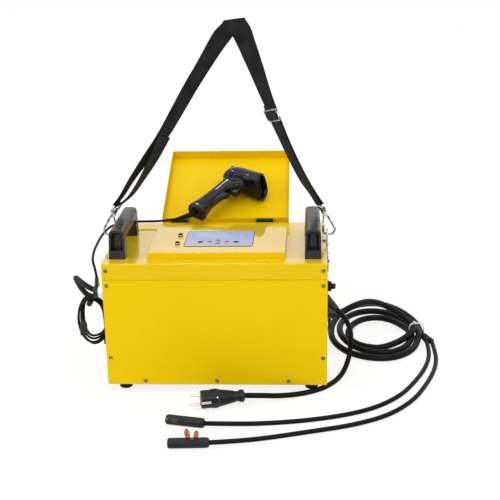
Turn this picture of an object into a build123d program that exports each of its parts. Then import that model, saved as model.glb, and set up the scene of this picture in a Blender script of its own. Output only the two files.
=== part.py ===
from build123d import *
import math
import os

# Electrofusion welding machine, in millimetres: X to the right, Y to the back, Z up.
# Everything is laid out from the middle of the case on the floor, then moved so that
# the origin is under the middle of the whole machine, its cords left out.

CASE_AT = (23.0, -120.5)

# Case
CASE_W, CASE_D, CASE_H = 430.0, 275.0, 250.0
FOOT_H = 18.0
SHEET = 1.5
FRONT, BACK = -CASE_D / 2, CASE_D / 2
SIDE = CASE_W / 2
TOP = FOOT_H + CASE_H
SEAM_Z = 236.0
FLANGE = 16.0
TRAY_RIM = 16.0
FOOT_INSET = 30.0
SCREW_R, SCREW_HEAD_R, SCREW_HEAD_H = 2.0, 4.0, 2.4
SCREW_EDGE = 207.0
SCREW_ROWS = (254.0, 224.0, 75.0)
SCREW_LOW_Z, SCREW_LOW_X = 25.8, (-141.0, 0.0, 140.0)
SCREW_TOP = ((-210.5, 5.0), (210.5, 5.0))
BEND_R = 2.5

# Console
PLINTH = (-130.5, 135.5, -107.0, 60.0)
PLINTH_H = 13.0
PLINTH_T = 1.2
DECK = TOP + PLINTH_H
PAD = (-64.0, 71.0, -71.0, 29.0)
PAD_T = 0.8
KEY_R, KEY_PROUD, KEY_TRAVEL = 4.5, 0.8, 0.8
KEYS = {"key_stop": (-33.0, -44.0), "key_left": (-15.0, -44.0), "key_up": (2.0, -35.0),
        "key_down": (2.0, -53.0), "key_right": (19.0, -44.0), "key_start": (37.0, -44.0)}
SCREEN = (-46.0, 54.0, -18.0, 20.0)
SOCKET_X, SOCKET_Y = -77.0, (-4.0, -57.0)
SOCKET_R, SOCKET_H, CAP_H = 5.0, 3.8, 1.6

# Lid, drawn closed and then swung open
LID = (-134.5, 138.5, -112.0, 137.0)
LID_DEPTH, LID_T, LID_GAP = 20.0, 1.2, 0.5
HINGE_Y, HINGE_Z = BACK + 3.7, TOP + 3.5
HINGE_X = (-96.0, 87.0)
HINGE_W, KNUCKLE_R, PIN_R = 36.0, 3.2, 1.5
LID_OPEN = 157.5
KNOB_AT = (5.0, -76.0)

# Handles
HANDLE_X, HANDLE_W, HANDLE_TOP_W, HANDLE_H = 188.0, 32.0, 29.0, 57.0
HANDLE_Y = (-108.0, 62.0)
HANDLE_LEG, GRIP_T = 21.0, 19.0
HANDLE_ROUND, HANDLE_RIM, HANDLE_LEDGE, HANDLE_HOLLOW = 9.0, 3.0, 16.0, 14.0

# Strap and its hooks
EYE_Z, EYE_R, EYE_T = 282.0, 7.0, 3.0
STRAP_W, STRAP_T, STRAP_TOP = 38.0, 2.4, 712.0
HOOK_D = 4.4
GATE_PIVOT = (SIDE - 4.6, EYE_Z + 42.5)
# Along each band, from its ring to the fold at the top: X, Z and twist in degrees
RIGHT_BAND = ((201.2, 347.4, 72), (191.6, 366.5, 68), (173.8, 395, 63), (154.4, 433, 62), (137, 471.5, 61),
              (121.8, 507, 57), (100.3, 560, 50), (81.9, 611, 37), (64.6, 657, 24), (44, 716, 16))
LEFT_BAND = ((-201.2, 347.4, 78), (-189, 366, 78), (-168, 399, 74), (-138, 440, 66), (-103, 486, 56),
             (-74.5, 532, 51), (-46.5, 578.5, 47), (-17.1, 624, 43), (11.8, 668.5, 38), (42, 716, 30))
LEFT_INNER = ((-199.6, 347.4, 78), (-175, 366, 78), (-151, 399, 74), (-125, 441, 64), (-102, 484, 56))
TAIL_BAND = RIGHT_BAND[2:6]
STRAP_FEET = ((-203.9, 341.5), (203.9, 341.5))
STRAP_WAYS = ((0.42, 0.908), (-0.42, 0.908))
RING_TWIST = (78.0, 72.0)
BUCKLE_AT = (113.5, 526.0, 55.0)

# Right-hand side
PANEL_Y = -60.0
ROCKER_Z, SELECTOR_Z, MAINS_Z, CAP_Z = 241.0, 195.0, 157.0, 115.0
SHAFT_R = 3.0
WELD_AT = (92.0, 78.0)

# Left-hand side
SCANNER_PORT = (-105.0, 200.0)
ARM_D, ARM_Y, ARM_END_Y = 11.0, -52.0, -95.0
PEG = (-252.0, 170.0)

# Cords
MAINS_D, WELD_D, LEAD_D, THIN_D, DATA_D = 10.5, 14.0, 9.0, 5.0, 4.6
PLUG_FACE, PLUG_TILT, PLUG_R, PLUG_L = (-26.0, -205.0), 13.0, 18.5, 72.0
PIN_SPACING, PLUG_PIN_R, PLUG_PIN_L = 19.0, 2.4, 19.0
PLUG_FLAT, PLUG_NECK_R, GROOVES = 16.0, 10.0, 7
TERMINAL_R, TERMINAL_L, TERMINAL_BORE_R, TERMINAL_BORE_L = 9.5, 74.0, 2.35, 20.0

# Scanner: a plane that lies just above the open lid
SCANNER_LEAN = 20.4
SCANNER_RISE = 17.4
HEAD_BACK, HEAD_WAY = (-8.0, 136.0), (0.9397, -0.342)
# Along the head: place, top, bottom, half width, share of roundness
HEAD = ((0.0, 7.0, -3.0, 8.0, 0.96), (2.0, 13.0, -8.0, 14.0, 0.96), (7.0, 20.5, -14.0, 20.5, 0.95),
        (15.0, 26.5, -18.5, 25.5, 0.92), (28.0, 29.5, -21.0, 28.0, 0.84), (48.0, 28.5, -21.5, 28.8, 0.72),
        (70.0, 26.0, -22.5, 29.4, 0.56), (92.0, 23.0, -24.0, 30.2, 0.42))
# Along the grip: place, half across, half thickness, share of roundness
GRIP = ((-61.0, 12.0, 16.0, 12.5, 0.6), (-59.0, 15.0, 18.6, 15.6, 0.6), (-50.0, 28.0, 18.6, 16.8, 0.66),
        (-38.0, 46.0, 16.6, 16.4, 0.8), (-22.0, 70.0, 15.6, 16.0, 0.9), (-6.0, 94.0, 16.4, 16.6, 0.92),
        (6.0, 112.0, 18.5, 18.5, 0.92), (15.0, 130.0, 17.0, 19.0, 0.92))
HOOD, HOOD_BACK, HOOD_DEEP = (41.0, 54.5), (37.0, 50.0), 12.0
TRIGGER_PIVOT = (24.5, 90.0)
TRIGGER_SLOT = ((4, 76), (20, 64), (42, 92), (25, 101))
CHEEKS = ((4, 108), (4, 92), (16, 84), (30, 85), (37, 100), (36, 108))


def box(x0, x1, y0, y1, z0, z1):
    return Pos((x0 + x1) / 2, (y0 + y1) / 2, (z0 + z1) / 2) * Box(abs(x1 - x0), abs(y1 - y0), abs(z1 - z0))


def rod(start, end, r, r_end=None):
    # A round bar from start to end, tapered where r_end is given.
    a, b = Vector(*start), Vector(*end)
    plane = Plane(origin=a, z_dir=(b - a).normalized())
    if r_end is None or r_end == r:
        return extrude(plane * Circle(r), (b - a).length)
    far = Plane(origin=b, x_dir=plane.x_dir, z_dir=plane.z_dir)
    return loft([plane * Circle(r), far * Circle(r_end)])


def cord_radii(points):
    # Each bend is as large as its two runs allow.
    radii = []
    for a, b, c in zip(points, points[1:], points[2:]):
        u, v = Vector(*b) - Vector(*a), Vector(*c) - Vector(*b)
        turn = math.radians(u.get_angle(v))
        radii.append(0.45 * min(u.length, v.length) / math.tan(turn / 2))
    return radii


def swept(path, r):
    start = Plane(origin=path @ 0, z_dir=path % 0)
    return sweep(start * Circle(r), path=path)


def tube(name, points, d):
    radii = cord_radii(points)
    path = FilletPolyline(*points, radius=radii)
    solid = swept(path, d / 2)
    share = solid.volume / (math.pi * d * d / 4 * path.length)
    print(f"{name}: length {path.length:.0f}, least radius {min(radii):.0f}, volume share {share:.3f}")
    return solid


def biarcs(stations):
    # Two tangent arcs between each pair of (point, direction) stations.
    edges = []
    for (p, t), (q, s) in zip(stations, stations[1:]):
        p, q, t, s = Vector(*p), Vector(*q), Vector(*t).normalized(), Vector(*s).normalized()
        v, both, bend = q - p, t + s, 2 * (1 - t.dot(s))
        along = v.dot(both)
        reach = (math.sqrt(along * along + bend * v.dot(v)) - along) / bend
        a, b = p + t * reach, q - s * reach
        middle = (a + b) * 0.5
        edges.append(TangentArc(p, middle, tangent=t))
        edges.append(TangentArc(middle, q, tangent=b - a))
    return Wire(edges)


def entering(points, start=0.0, end=0.0):
    # The same route with its ends carried on into the pieces that hold them.
    a, b, y, z = [Vector(*points[i]) for i in (0, 1, -2, -1)]
    first, last = a + (a - b).normalized() * start, z + (z - y).normalized() * end
    return [(first.X, first.Y, first.Z), *points[1:-1], (last.X, last.Y, last.Z)]


def self_gap(name, path, d, per_turn):
    # Least clear distance between parts of the path that are not next to each other.
    count = 60 * per_turn
    points = [path @ (i / count) for i in range(count + 1)]
    skip = int(2.5 * d / (path.length / count)) + 2
    least = min((points[i] - points[j]).length
                for i in range(count + 1) for j in range(i + skip, count + 1))
    print(f"{name}: length {path.length:.0f}, least gap to itself {least - d:.2f}")


def mirror_pair(shape):
    return [shape, mirror(shape, about=Plane.YZ)]


# Case

def screw_places():
    for x in (-SCREW_EDGE, SCREW_EDGE):
        for z in SCREW_ROWS:
            yield x, z
    for x in SCREW_LOW_X:
        yield x, SCREW_LOW_Z


def screw_holes(face):
    length = 8.0
    return [rod((x, face - length, z), (x, face + length, z), SCREW_R + 0.1) for x, z in screw_places()]


def base_tray():
    x, y = SIDE - SHEET, BACK - 2 * SHEET
    tray = box(-x, x, -y, y, FOOT_H, FOOT_H + TRAY_RIM)
    tray -= box(-x + SHEET, x - SHEET, -y + SHEET, y - SHEET, FOOT_H + SHEET, FOOT_H + TRAY_RIM)
    return tray - screw_holes(FRONT) - screw_holes(BACK)


def end_panel(face, inward):
    panel = box(-SIDE, SIDE, face, face + inward * SHEET, FOOT_H, SEAM_Z - 0.5)
    low = panel.edges().filter_by(Axis.Y).group_by(Axis.Z)[0]
    return fillet(low, 4) - screw_holes(face)


def back_panel():
    panel = end_panel(BACK, -1)
    slots = [Pos(x, BACK, z) * Rot(X=90) * extrude(SlotOverall(60, 5), 6, both=True)
             for x in (-120, -40, 40, 120) for z in range(90, 180, 15)]
    return panel - slots


def side_panel():
    # The right-hand one: a plate with a flange behind each end panel.
    x, y = SIDE - SHEET, BACK - SHEET
    panel = box(x, SIDE, -y, y, FOOT_H, TOP - SHEET)
    for way in (-1, 1):
        panel += box(x - FLANGE, x, way * y, way * (y - SHEET), FOOT_H + TRAY_RIM + 1, TOP - SHEET - 3)
    return panel - screw_holes(FRONT) - screw_holes(BACK)


def right_side_panel():
    panel = side_panel()
    fittings = [(PANEL_Y, SELECTOR_Z, 5.2), (PANEL_Y, MAINS_Z, 8.2), (PANEL_Y, CAP_Z, 9.2), (*WELD_AT, 10.2)]
    panel -= [rod((SIDE - 9, y, z), (SIDE + 9, y, z), r) for y, z, r in fittings]
    return panel - box(SIDE - 9, SIDE + 9, PANEL_Y - 7, PANEL_Y + 7, ROCKER_Z - 10, ROCKER_Z + 10)


def left_side_panel():
    y, z = SCANNER_PORT
    return mirror(side_panel(), about=Plane.YZ) - rod((-SIDE - 9, y, z), (-SIDE + 9, y, z), 9.2)


def top_cover():
    x = SIDE - 0.1
    cover = box(-x, x, FRONT, BACK, SEAM_Z, TOP)
    cover = fillet(cover.edges().filter_by(Axis.X).group_by(Axis.Z)[-1], BEND_R)
    cover -= box(-x, x, FRONT + SHEET, BACK - SHEET, SEAM_Z, TOP - SHEET)
    x0, x1, y0, y1 = PAD
    cover -= box(x0 + 3, x1 - 3, y0 + 3, y1 - 3, TOP - 9, TOP + 9)
    cover -= [rod((x, y, TOP - 9), (x, y, TOP + 9), SCREW_R + 0.1) for x, y in SCREW_TOP]
    return cover - screw_holes(FRONT) - screw_holes(BACK)


def case_screws():
    screws = []
    for face, out in ((FRONT, -1), (BACK, 1)):
        for x, z in screw_places():
            head = rod((x, face, z), (x, face + out * SCREW_HEAD_H, z), SCREW_HEAD_R, SCREW_HEAD_R * 0.62)
            screws.append(head + rod((x, face, z), (x, face - out * 6.0, z), SCREW_R))
    for x, y in SCREW_TOP:
        head = rod((x, y, TOP), (x, y, TOP + SCREW_HEAD_H), SCREW_HEAD_R, SCREW_HEAD_R * 0.62)
        screws.append(head + rod((x, y, TOP - 6.0), (x, y, TOP), SCREW_R))
    return screws


def rubber_feet():
    x, y = SIDE - FOOT_INSET, BACK - FOOT_INSET
    foot = loft([Plane.XY * Circle(12.5), Plane.XY.offset(FOOT_H) * Circle(15)])
    foot = fillet(foot.edges().group_by(Axis.Z)[0], 2.5)
    return [Pos(sx * x, sy * y, 0) * foot for sx in (-1, 1) for sy in (-1, 1)]


def arch(y, low_w, high_w, low, high, r):
    # Front view of a handle's end: sides that lean in a little and a rounded top.
    low_w, high_w = low_w / 2, high_w / 2
    sides = FilletPolyline((-low_w, low), (-high_w, high), (high_w, high), (low_w, low), radius=r)
    return Plane.XZ.offset(-y) * make_face(sides + Line((low_w, low), (-low_w, low)))


def handle():
    # Bridge handle: an arch seen from the front and a portal seen from the side, hollowed at each end.
    y0, y1 = HANDLE_Y
    z1 = TOP + HANDLE_H
    outline = Plane.YZ * make_face(Polyline(
        (y0 - 2, TOP), (y0 + 2, z1 + 1), (y1 - 2, z1 + 1), (y1 + 2, TOP), close=True))
    body = extrude(outline, HANDLE_W, both=True)
    body &= extrude(arch(0, HANDLE_W, HANDLE_TOP_W, TOP, z1, HANDLE_ROUND), 200, both=True)
    gap = Plane.YZ * make_face(Polyline(
        (y0 + HANDLE_LEG, TOP), (y0 + HANDLE_LEG + 4, z1 - GRIP_T),
        (y1 - HANDLE_LEG - 4, z1 - GRIP_T), (y1 - HANDLE_LEG, TOP), close=True))
    gap = extrude(gap, HANDLE_W, both=True)
    body -= fillet(gap.edges().filter_by(Axis.X).group_by(Axis.Z)[-1], 12)
    ends = [e for e in body.edges() if e.center().Z > TOP + 1
            and (e.center().Y < y0 + 4 or e.center().Y > y1 - 4)]
    body = fillet(ends, 1.2)
    low, high, rim = TOP + HANDLE_LEDGE, z1 - HANDLE_RIM, 2 * HANDLE_RIM
    mouth = arch(y0 - 3, HANDLE_W - rim, HANDLE_TOP_W - rim, low, high, HANDLE_ROUND - 2)
    floor = arch(y0 + HANDLE_HOLLOW, HANDLE_W - 3 * rim, HANDLE_TOP_W - 3 * rim, low + 3, high - 8,
                 HANDLE_ROUND - 5)
    front = loft([mouth, floor])
    back = mirror(front, about=Plane.XZ.offset(-(y0 + y1) / 2))
    return Pos(HANDLE_X, 0, 0) * (body - front - back)


# Console

def console_plinth():
    x0, x1, y0, y1 = PLINTH
    plinth = box(x0, x1, y0, y1, TOP, DECK)
    plinth = fillet(plinth.edges().group_by(Axis.Z)[-1], 2)
    plinth -= box(x0 + PLINTH_T, x1 - PLINTH_T, y0 + PLINTH_T, y1 - PLINTH_T, TOP, DECK - PLINTH_T)
    plinth -= [rod((x, y, DECK - 5), (x, y, DECK + 1), KEY_R + 0.5) for x, y in KEYS.values()]
    sx0, sx1, sy0, sy1 = SCREEN
    plinth -= box(sx0, sx1, sy0, sy1, DECK - 5, DECK + 1)
    return plinth - [rod((SOCKET_X, y, DECK - 9), (SOCKET_X, y, DECK + 9), 3.6) for y in SOCKET_Y]


def keypad_overlay():
    x0, x1, y0, y1 = PAD
    sheet = box(x0, x1, y0, y1, DECK, DECK + PAD_T)
    sheet = fillet(sheet.edges().filter_by(Axis.Z), 3)
    sheet -= [rod((x, y, DECK - 1), (x, y, DECK + 2), KEY_R + 0.35) for x, y in KEYS.values()]
    sx0, sx1, sy0, sy1 = SCREEN
    return sheet - box(sx0, sx1, sy0, sy1, DECK - 1, DECK + 2)


def key(x, y):
    # A domed cap that shows through the overlay, and the foot that keeps it in.
    under, crown = DECK - PLINTH_T - 0.4, DECK + PAD_T + KEY_PROUD
    cap = rod((x, y, under), (x, y, crown), KEY_R)
    cap = fillet(cap.edges().group_by(Axis.Z)[-1], 0.6)
    return cap + rod((x, y, under - 1), (x, y, under), KEY_R + 1.2)


def display_window():
    x0, x1, y0, y1 = SCREEN
    return box(x0 + 0.2, x1 - 0.2, y0 + 0.2, y1 - 0.2, DECK - 0.6, DECK + PAD_T - 0.1)


def display_module():
    x0, x1, y0, y1 = SCREEN
    return box(x0 + 1, x1 - 1, y0 + 1, y1 - 1, DECK - 8, DECK - 0.6)


def control_board():
    x0, x1, y0, y1 = PAD
    board = box(x0 + 6, x1 - 6, y0 + 6, y1 - 6, DECK - 9.6, DECK - 8)
    posts = [rod((x, y, DECK - 8), (x, y, DECK - PLINTH_T), 2.5)
             for x in (x0 + 11, x1 - 11) for y in (y0 + 11, y1 - 11)]
    switches = [box(x - 3, x + 3, y - 3, y + 3, DECK - 8, DECK - 3.5) for x, y in KEYS.values()]
    return board + posts + switches


def console_sockets():
    # Round threaded sockets, each closed by a cap.
    sockets = []
    for y in SOCKET_Y:
        shell = rod((SOCKET_X, y, DECK), (SOCKET_X, y, DECK + SOCKET_H), SOCKET_R)
        shell += rod((SOCKET_X, y, DECK - 8), (SOCKET_X, y, DECK), 3.5)
        cap = rod((SOCKET_X, y, DECK + SOCKET_H), (SOCKET_X, y, DECK + SOCKET_H + CAP_H), SOCKET_R - 0.7)
        sockets.append(shell + fillet(cap.edges().group_by(Axis.Z)[-1], 0.8))
    return sockets


# Lid and hinges

def open_lid(shape):
    axis = Axis((0, HINGE_Y, HINGE_Z), (1, 0, 0))
    return shape.rotate(axis, -LID_OPEN)


def lid():
    x0, x1, y0, y1 = LID
    low = TOP + LID_GAP
    high = low + LID_DEPTH
    tray = box(x0, x1, y0, y1, low, high)
    tray = fillet(tray.edges().filter_by(Axis.Z), 3)
    tray = fillet(tray.edges().group_by(Axis.Z)[-1], 2)
    tray -= box(x0 + LID_T, x1 - LID_T, y0 + LID_T, y1 - LID_T, low, high - LID_T)
    x, y = KNOB_AT
    return open_lid(tray - rod((x, y, low), (x, y, high + 9), 2.1))


def lid_knob():
    # Turned pull on the outer face, with its stud and nut inside the tray.
    x, y = KNOB_AT
    high = TOP + LID_GAP + LID_DEPTH
    profile = Polyline((0, -5.2), (2, -5.2), (2, 0), (6, 0), (5, 5), (8, 10), (8, 13), (6.5, 14.5), (0, 14.5),
                       close=True)
    pull = Pos(x, y, high) * revolve(Plane.XZ * make_face(profile), Axis.Z)
    nut = extrude(Plane(origin=(x, y, high - LID_T - 3)) * RegularPolygon(3.8, 6), 3)
    return open_lid(pull + (nut - rod((x, y, high - 9), (x, y, high), 1.9)))


def knuckle(x0, x1, leaf):
    barrel = rod((x0, HINGE_Y, HINGE_Z), (x1, HINGE_Y, HINGE_Z), KNUCKLE_R)
    return (barrel + leaf) - rod((x0 - 9, HINGE_Y, HINGE_Z), (x1 + 9, HINGE_Y, HINGE_Z), PIN_R + 0.05)


def hinge_base_leaves():
    # A plate on the back of the case with a knuckle at each end.
    leaves = []
    third = HINGE_W / 3
    for x in HINGE_X:
        x0, x1 = x - HINGE_W / 2, x + HINGE_W / 2
        plate = box(x0, x1, BACK, BACK + 1.6, TOP - 24, TOP - 1)
        for a, b in ((x0, x0 + third - 0.3), (x1 - third + 0.3, x1)):
            plate += knuckle(a, b, box(a, b, BACK, BACK + 1.6, TOP - 1, HINGE_Z))
        leaves.append(plate)
    return leaves


def hinge_lid_leaves():
    leaves = []
    third = HINGE_W / 3
    y0 = LID[3]
    for x in HINGE_X:
        a, b = x - third / 2 + 0.3, x + third / 2 - 0.3
        web = box(a, b, y0, HINGE_Y, HINGE_Z + 1.6, HINGE_Z + 3.2)
        plate = box(x - HINGE_W / 2, x + HINGE_W / 2, y0, y0 + 1.6, HINGE_Z + 4.2, HINGE_Z + 16)
        plate += box(a, b, y0, y0 + 1.6, HINGE_Z + 1.6, HINGE_Z + 5)
        leaves.append(open_lid(plate + knuckle(a, b, web)))
    return leaves


def hinge_pins():
    reach = HINGE_W / 2 + 1.5
    return [rod((x - reach, HINGE_Y, HINGE_Z), (x + reach, HINGE_Y, HINGE_Z), PIN_R) for x in HINGE_X]


# Strap

def strap_eyes():
    plate = box(SIDE, SIDE + EYE_T, -15, 15, EYE_Z - 48, EYE_Z + 13)
    plate = fillet(plate.edges().filter_by(Axis.X), 12)
    plate -= rod((SIDE - 9, 0, EYE_Z), (SIDE + 9, 0, EYE_Z), EYE_R)
    heads = [rod((SIDE + EYE_T, 0, z), (SIDE + EYE_T + 2.2, 0, z), 4, 2.6) for z in (EYE_Z - 20, EYE_Z - 38)]
    return mirror_pair(plate + heads)


def snap_hook(side):
    # A bent bar through the eye and the swivel post that carries the strap's ring.
    x = SIDE
    bend = FilletPolyline((x - 6.2, 0, EYE_Z + 21), (x - 6.2, 0, EYE_Z + 3.5), (x + 11, 0, EYE_Z + 1.5),
                          (x + 19, 0, EYE_Z + 11), (x + 1, 0, EYE_Z + 42), (x - 5, 0, EYE_Z + 50),
                          radius=[5.5, 6, 6, 8])
    hook = swept(bend, HOOK_D / 2)
    hook += rod((x - 4.5, 0, EYE_Z + 46), (x - 10.5, 0, EYE_Z + 57), 4.5)
    px, pz = GATE_PIVOT
    ears = [box(px - 3, px + 5, way * 2.2, way * 3.8, pz - 3, pz + 7) for way in (-1, 1)]
    hook = hook + ears - rod((px, -9, pz), (px, 9, pz), 1.05)
    if side < 0:
        hook = mirror(hook, about=Plane.YZ)
    return hook - strap_ring((side + 1) // 2, 0.05)


def gate():
    # The sprung bar that closes the hook's mouth, on a pin between the ears.
    px, pz = GATE_PIVOT
    return rod((px - 1.9, 0, pz - 17.6), (px, 0, pz), 1.6) + rod((px, -3.6, pz), (px, 3.6, pz), 1.0)


def band_plane(x, z, way, twist, side):
    # Across a band: its outer edge turns towards the front by the twist.
    turn = math.radians(twist)
    across = Vector(way.Z * math.cos(turn), -side * math.sin(turn), -way.X * math.cos(turn))
    return Plane(origin=(x, 0, z), x_dir=across, z_dir=way)


def band(stations, side, shift):
    # Webbing through its stations, moved off its middle along its own thickness.
    sections = []
    for i, (x, z, twist) in enumerate(stations):
        before, after = stations[max(i - 1, 0)], stations[min(i + 1, len(stations) - 1)]
        way = Vector(after[0] - before[0], 0, after[1] - before[1]).normalized()
        sections.append(band_plane(x, z, way, twist, side) * Pos(0, shift) * Rectangle(STRAP_W, STRAP_T))
    return loft(sections)


def ring_plane(end):
    # In the plane of a ring: X along its leg of the strap, Y across it.
    way = Vector(STRAP_WAYS[end][0], 0, STRAP_WAYS[end][1]).normalized()
    plane = band_plane(*STRAP_FEET[end], way, RING_TWIST[end], 2 * end - 1)
    return Plane(origin=plane.origin, x_dir=way, z_dir=plane.x_dir.cross(way))


def strap_ring(end, room=0.0):
    ring = RectangleRounded(16 + 2 * room, STRAP_W + 8 + 2 * room, 5)
    ring -= RectangleRounded(10 - 2 * room, STRAP_W + 2 - 2 * room, 3)
    return extrude(ring_plane(end) * ring, 1.9 + room, both=True)


def ring_loop(end):
    # The webbing's turn round the upper bar of its ring.
    loop = Pos(7.5, 0) * RectangleRounded(10, STRAP_W, 2)
    return extrude(ring_plane(end) * loop, 4.2, both=True) - strap_ring(end, 0.05)


def shoulder_strap():
    # Both legs up to the fold, the left one doubled near its ring, and the loose tail.
    left = band(LEFT_BAND, -1, STRAP_T / 2) + band(LEFT_INNER, -1, -STRAP_T / 2) + ring_loop(0)
    right = band(RIGHT_BAND, 1, -STRAP_T / 2) + ring_loop(1)
    legs = (left - strap_ring(0, 0.05)) + (right - strap_ring(1, 0.05))
    return [legs & box(-400, 400, -60, 60, 0, STRAP_TOP), band(TAIL_BAND, 1, -1.5 * STRAP_T - 0.2)]


def strap_buckle():
    # Three-bar slide on the front of the right leg.
    x, z, twist = BUCKLE_AT
    way = Vector(STRAP_WAYS[1][0], 0, STRAP_WAYS[1][1]).normalized()
    plane = band_plane(x, z, way, twist, 1)
    bars = RectangleRounded(STRAP_W + 10, 26, 4)
    bars -= [Pos(0, s * 6.5) * RectangleRounded(STRAP_W + 2, 7, 1.5) for s in (-1, 1)]
    face = Plane(origin=plane.origin, x_dir=plane.x_dir, z_dir=plane.y_dir).offset(-STRAP_T - 1.2)
    return extrude(face * bars, -2.6)


# Right-hand side

def switch_bezels():
    frame = box(SIDE, SIDE + 3, PANEL_Y - 10, PANEL_Y + 10, ROCKER_Z - 13, ROCKER_Z + 13)
    frame = fillet(frame.edges().filter_by(Axis.X), 2)
    frame += box(SIDE - 14, SIDE, PANEL_Y - 6.8, PANEL_Y + 6.8, ROCKER_Z - 9.8, ROCKER_Z + 9.8)
    frame -= box(SIDE - 8, SIDE + 9, PANEL_Y - 5.4, PANEL_Y + 5.4, ROCKER_Z - 9, ROCKER_Z + 9)
    frame -= rod((SIDE - 2, PANEL_Y - 6.4, ROCKER_Z), (SIDE - 2, PANEL_Y + 6.4, ROCKER_Z), 1.55)
    base = rod((SIDE, PANEL_Y, SELECTOR_Z), (SIDE + 3, PANEL_Y, SELECTOR_Z), 12)
    base += rod((SIDE - 16, PANEL_Y, SELECTOR_Z), (SIDE, PANEL_Y, SELECTOR_Z), 5)
    bore = rod((SIDE - 11, PANEL_Y, SELECTOR_Z), (SIDE + 9, PANEL_Y, SELECTOR_Z), SHAFT_R + 0.05)
    return [frame, base - bore]


def power_rocker():
    x, z = SIDE - 2, ROCKER_Z
    profile = Polyline((x - 2, z - 7), (x + 4.5, z - 8), (x + 3.5, z), (x + 6.6, z + 7.1), (x - 2, z + 6),
                       close=True)
    rocker = extrude(Plane.XZ.offset(-PANEL_Y) * make_face(profile), 5, both=True)
    return rocker + rod((x, PANEL_Y - 6.1, z), (x, PANEL_Y + 6.1, z), 1.5)


def selector_knob():
    # Tapered knob with a finger bar across it.
    x = SIDE + 3.4
    knob = rod((x, PANEL_Y, SELECTOR_Z), (x + 6, PANEL_Y, SELECTOR_Z), 10.5, 9.5)
    bar = Plane.XY.offset(SELECTOR_Z) * make_face(Polyline(
        (x + 6, PANEL_Y - 9), (x + 13, PANEL_Y - 7), (x + 14.5, PANEL_Y + 6), (x + 6, PANEL_Y + 9), close=True))
    shaft = rod((SIDE - 10, PANEL_Y, SELECTOR_Z), (x, PANEL_Y, SELECTOR_Z), SHAFT_R)
    return knob + extrude(bar, 3.2, both=True) + shaft


def mains_gland():
    x = SIDE
    plate = box(x, x + 2.4, PANEL_Y - 20, PANEL_Y + 20, MAINS_Z - 20, MAINS_Z + 20)
    plate = fillet(plate.edges().filter_by(Axis.X), 3)
    sleeve = rod((x - 10, PANEL_Y, MAINS_Z), (x + 2.4, PANEL_Y, MAINS_Z), 8)
    taper = rod((x - 4, PANEL_Y, MAINS_Z + 14), (*MAINS_POINTS[0],), 10.5, 6.4)
    sleeve += taper & box(x, x + 60, -200, 200, 0, 300)
    screws = [rod((x + 2.4, PANEL_Y + a, MAINS_Z + b), (x + 4.4, PANEL_Y + a, MAINS_Z + b), 3.4, 2.2)
              for a in (-14, 14) for b in (-14, 14)]
    return plate + sleeve + screws - mains_cord()


def data_socket():
    # Silver flange ring and a ribbed screw cap.
    x = SIDE
    flange = rod((x, PANEL_Y, CAP_Z), (x + 2.4, PANEL_Y, CAP_Z), 16)
    flange += rod((x - 12, PANEL_Y, CAP_Z), (x, PANEL_Y, CAP_Z), 9)
    cap = rod((x + 2.4, PANEL_Y, CAP_Z), (x + 9, PANEL_Y, CAP_Z), 13)
    ribs = [Rot(X=i * 24) * Pos(0, 13.2, 0) * Box(4.5, 1.6, 2.2) for i in range(15)]
    ribs = [Pos(x + 5.6, PANEL_Y, CAP_Z) * rib for rib in ribs]
    return [flange, cap - ribs]


def weld_gland():
    y, z = WELD_AT
    x = SIDE
    gland = rod((x - 10, y, z), (x, y, z), 10)
    gland += extrude(Plane(origin=(x, y, z), z_dir=(1, 0, 0)) * RegularPolygon(16, 6), 8)
    gland += rod((x + 8, y, z), (x + 22, y, z), 13, 11.5)
    return gland + rod((x + 22, y, z), (x + 32, y, z), 10, 8.6)


# Inside the case

def transformer_core():
    x, y, z = -70.0, 10.0, FOOT_H + SHEET + 6
    core = box(x - 60, x + 60, y - 28, y + 28, z, z + 100)
    core -= [box(x + s * 30 - 10, x + s * 30 + 10, y - 29, y + 29, z + 20, z + 80) for s in (-1, 1)]
    rails = [box(x - 66, x + 66, y + s * 36, y + s * 28, z - 6, z + 6) for s in (-1, 1)]
    return core + rails


def transformer_winding():
    x, y, z = -70.0, 10.0, FOOT_H + SHEET + 6
    winding = box(x - 39, x + 39, y - 46, y + 46, z + 20, z + 80)
    winding = fillet(winding.edges().filter_by(Axis.Z), 12)
    hole = box(x - 20.4, x + 20.4, y - 28.4, y + 28.4, z + 20, z + 80)
    return winding - hole


def heat_sink():
    x0, x1, y, z0 = 60.0, 160.0, 105.0, FOOT_H + SHEET
    sink = box(x0, x1, y, y + 6, z0, z0 + 110)
    return sink + [box(x, x + 2.5, y + 6, y + 26, z0, z0 + 110) for x in range(int(x0), int(x1), 12)]


def power_module():
    x0, y, z0 = 85.0, 105.0, FOOT_H + SHEET
    module = box(x0, x0 + 48, y - 22, y, z0 + 40, z0 + 90)
    return module + [rod((x0 + a, y - 22, z0 + 65), (x0 + a, y - 30, z0 + 65), 4) for a in (10, 24, 38)]


# Left-hand side

ARM_POINTS = [(-SIDE, ARM_Y, 173.0), (-281.0, ARM_Y, 214.0), (-291.0, ARM_Y, 205.0), (PEG[0], ARM_Y, PEG[1]),
              (PEG[0], ARM_END_Y, PEG[1])]


def cable_arm():
    # Rubber-covered bar: out of the wall, a tight bend at its tip, back, and forward as a peg.
    path = FilletPolyline(*ARM_POINTS, radius=[6.5, 7, 9])
    arm = swept(path, ARM_D / 2)
    return arm + rod((-SIDE - 4, ARM_Y, 175.2), (-SIDE, ARM_Y, 173), 14) & box(-400, -SIDE, -200, 200, 0, 400)


def scanner_socket():
    y, z = SCANNER_PORT
    ring = rod((-SIDE - 4, y, z), (-SIDE, y, z), 15)
    return ring + rod((-SIDE, y, z), (-SIDE + 12, y, z), 9)


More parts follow.
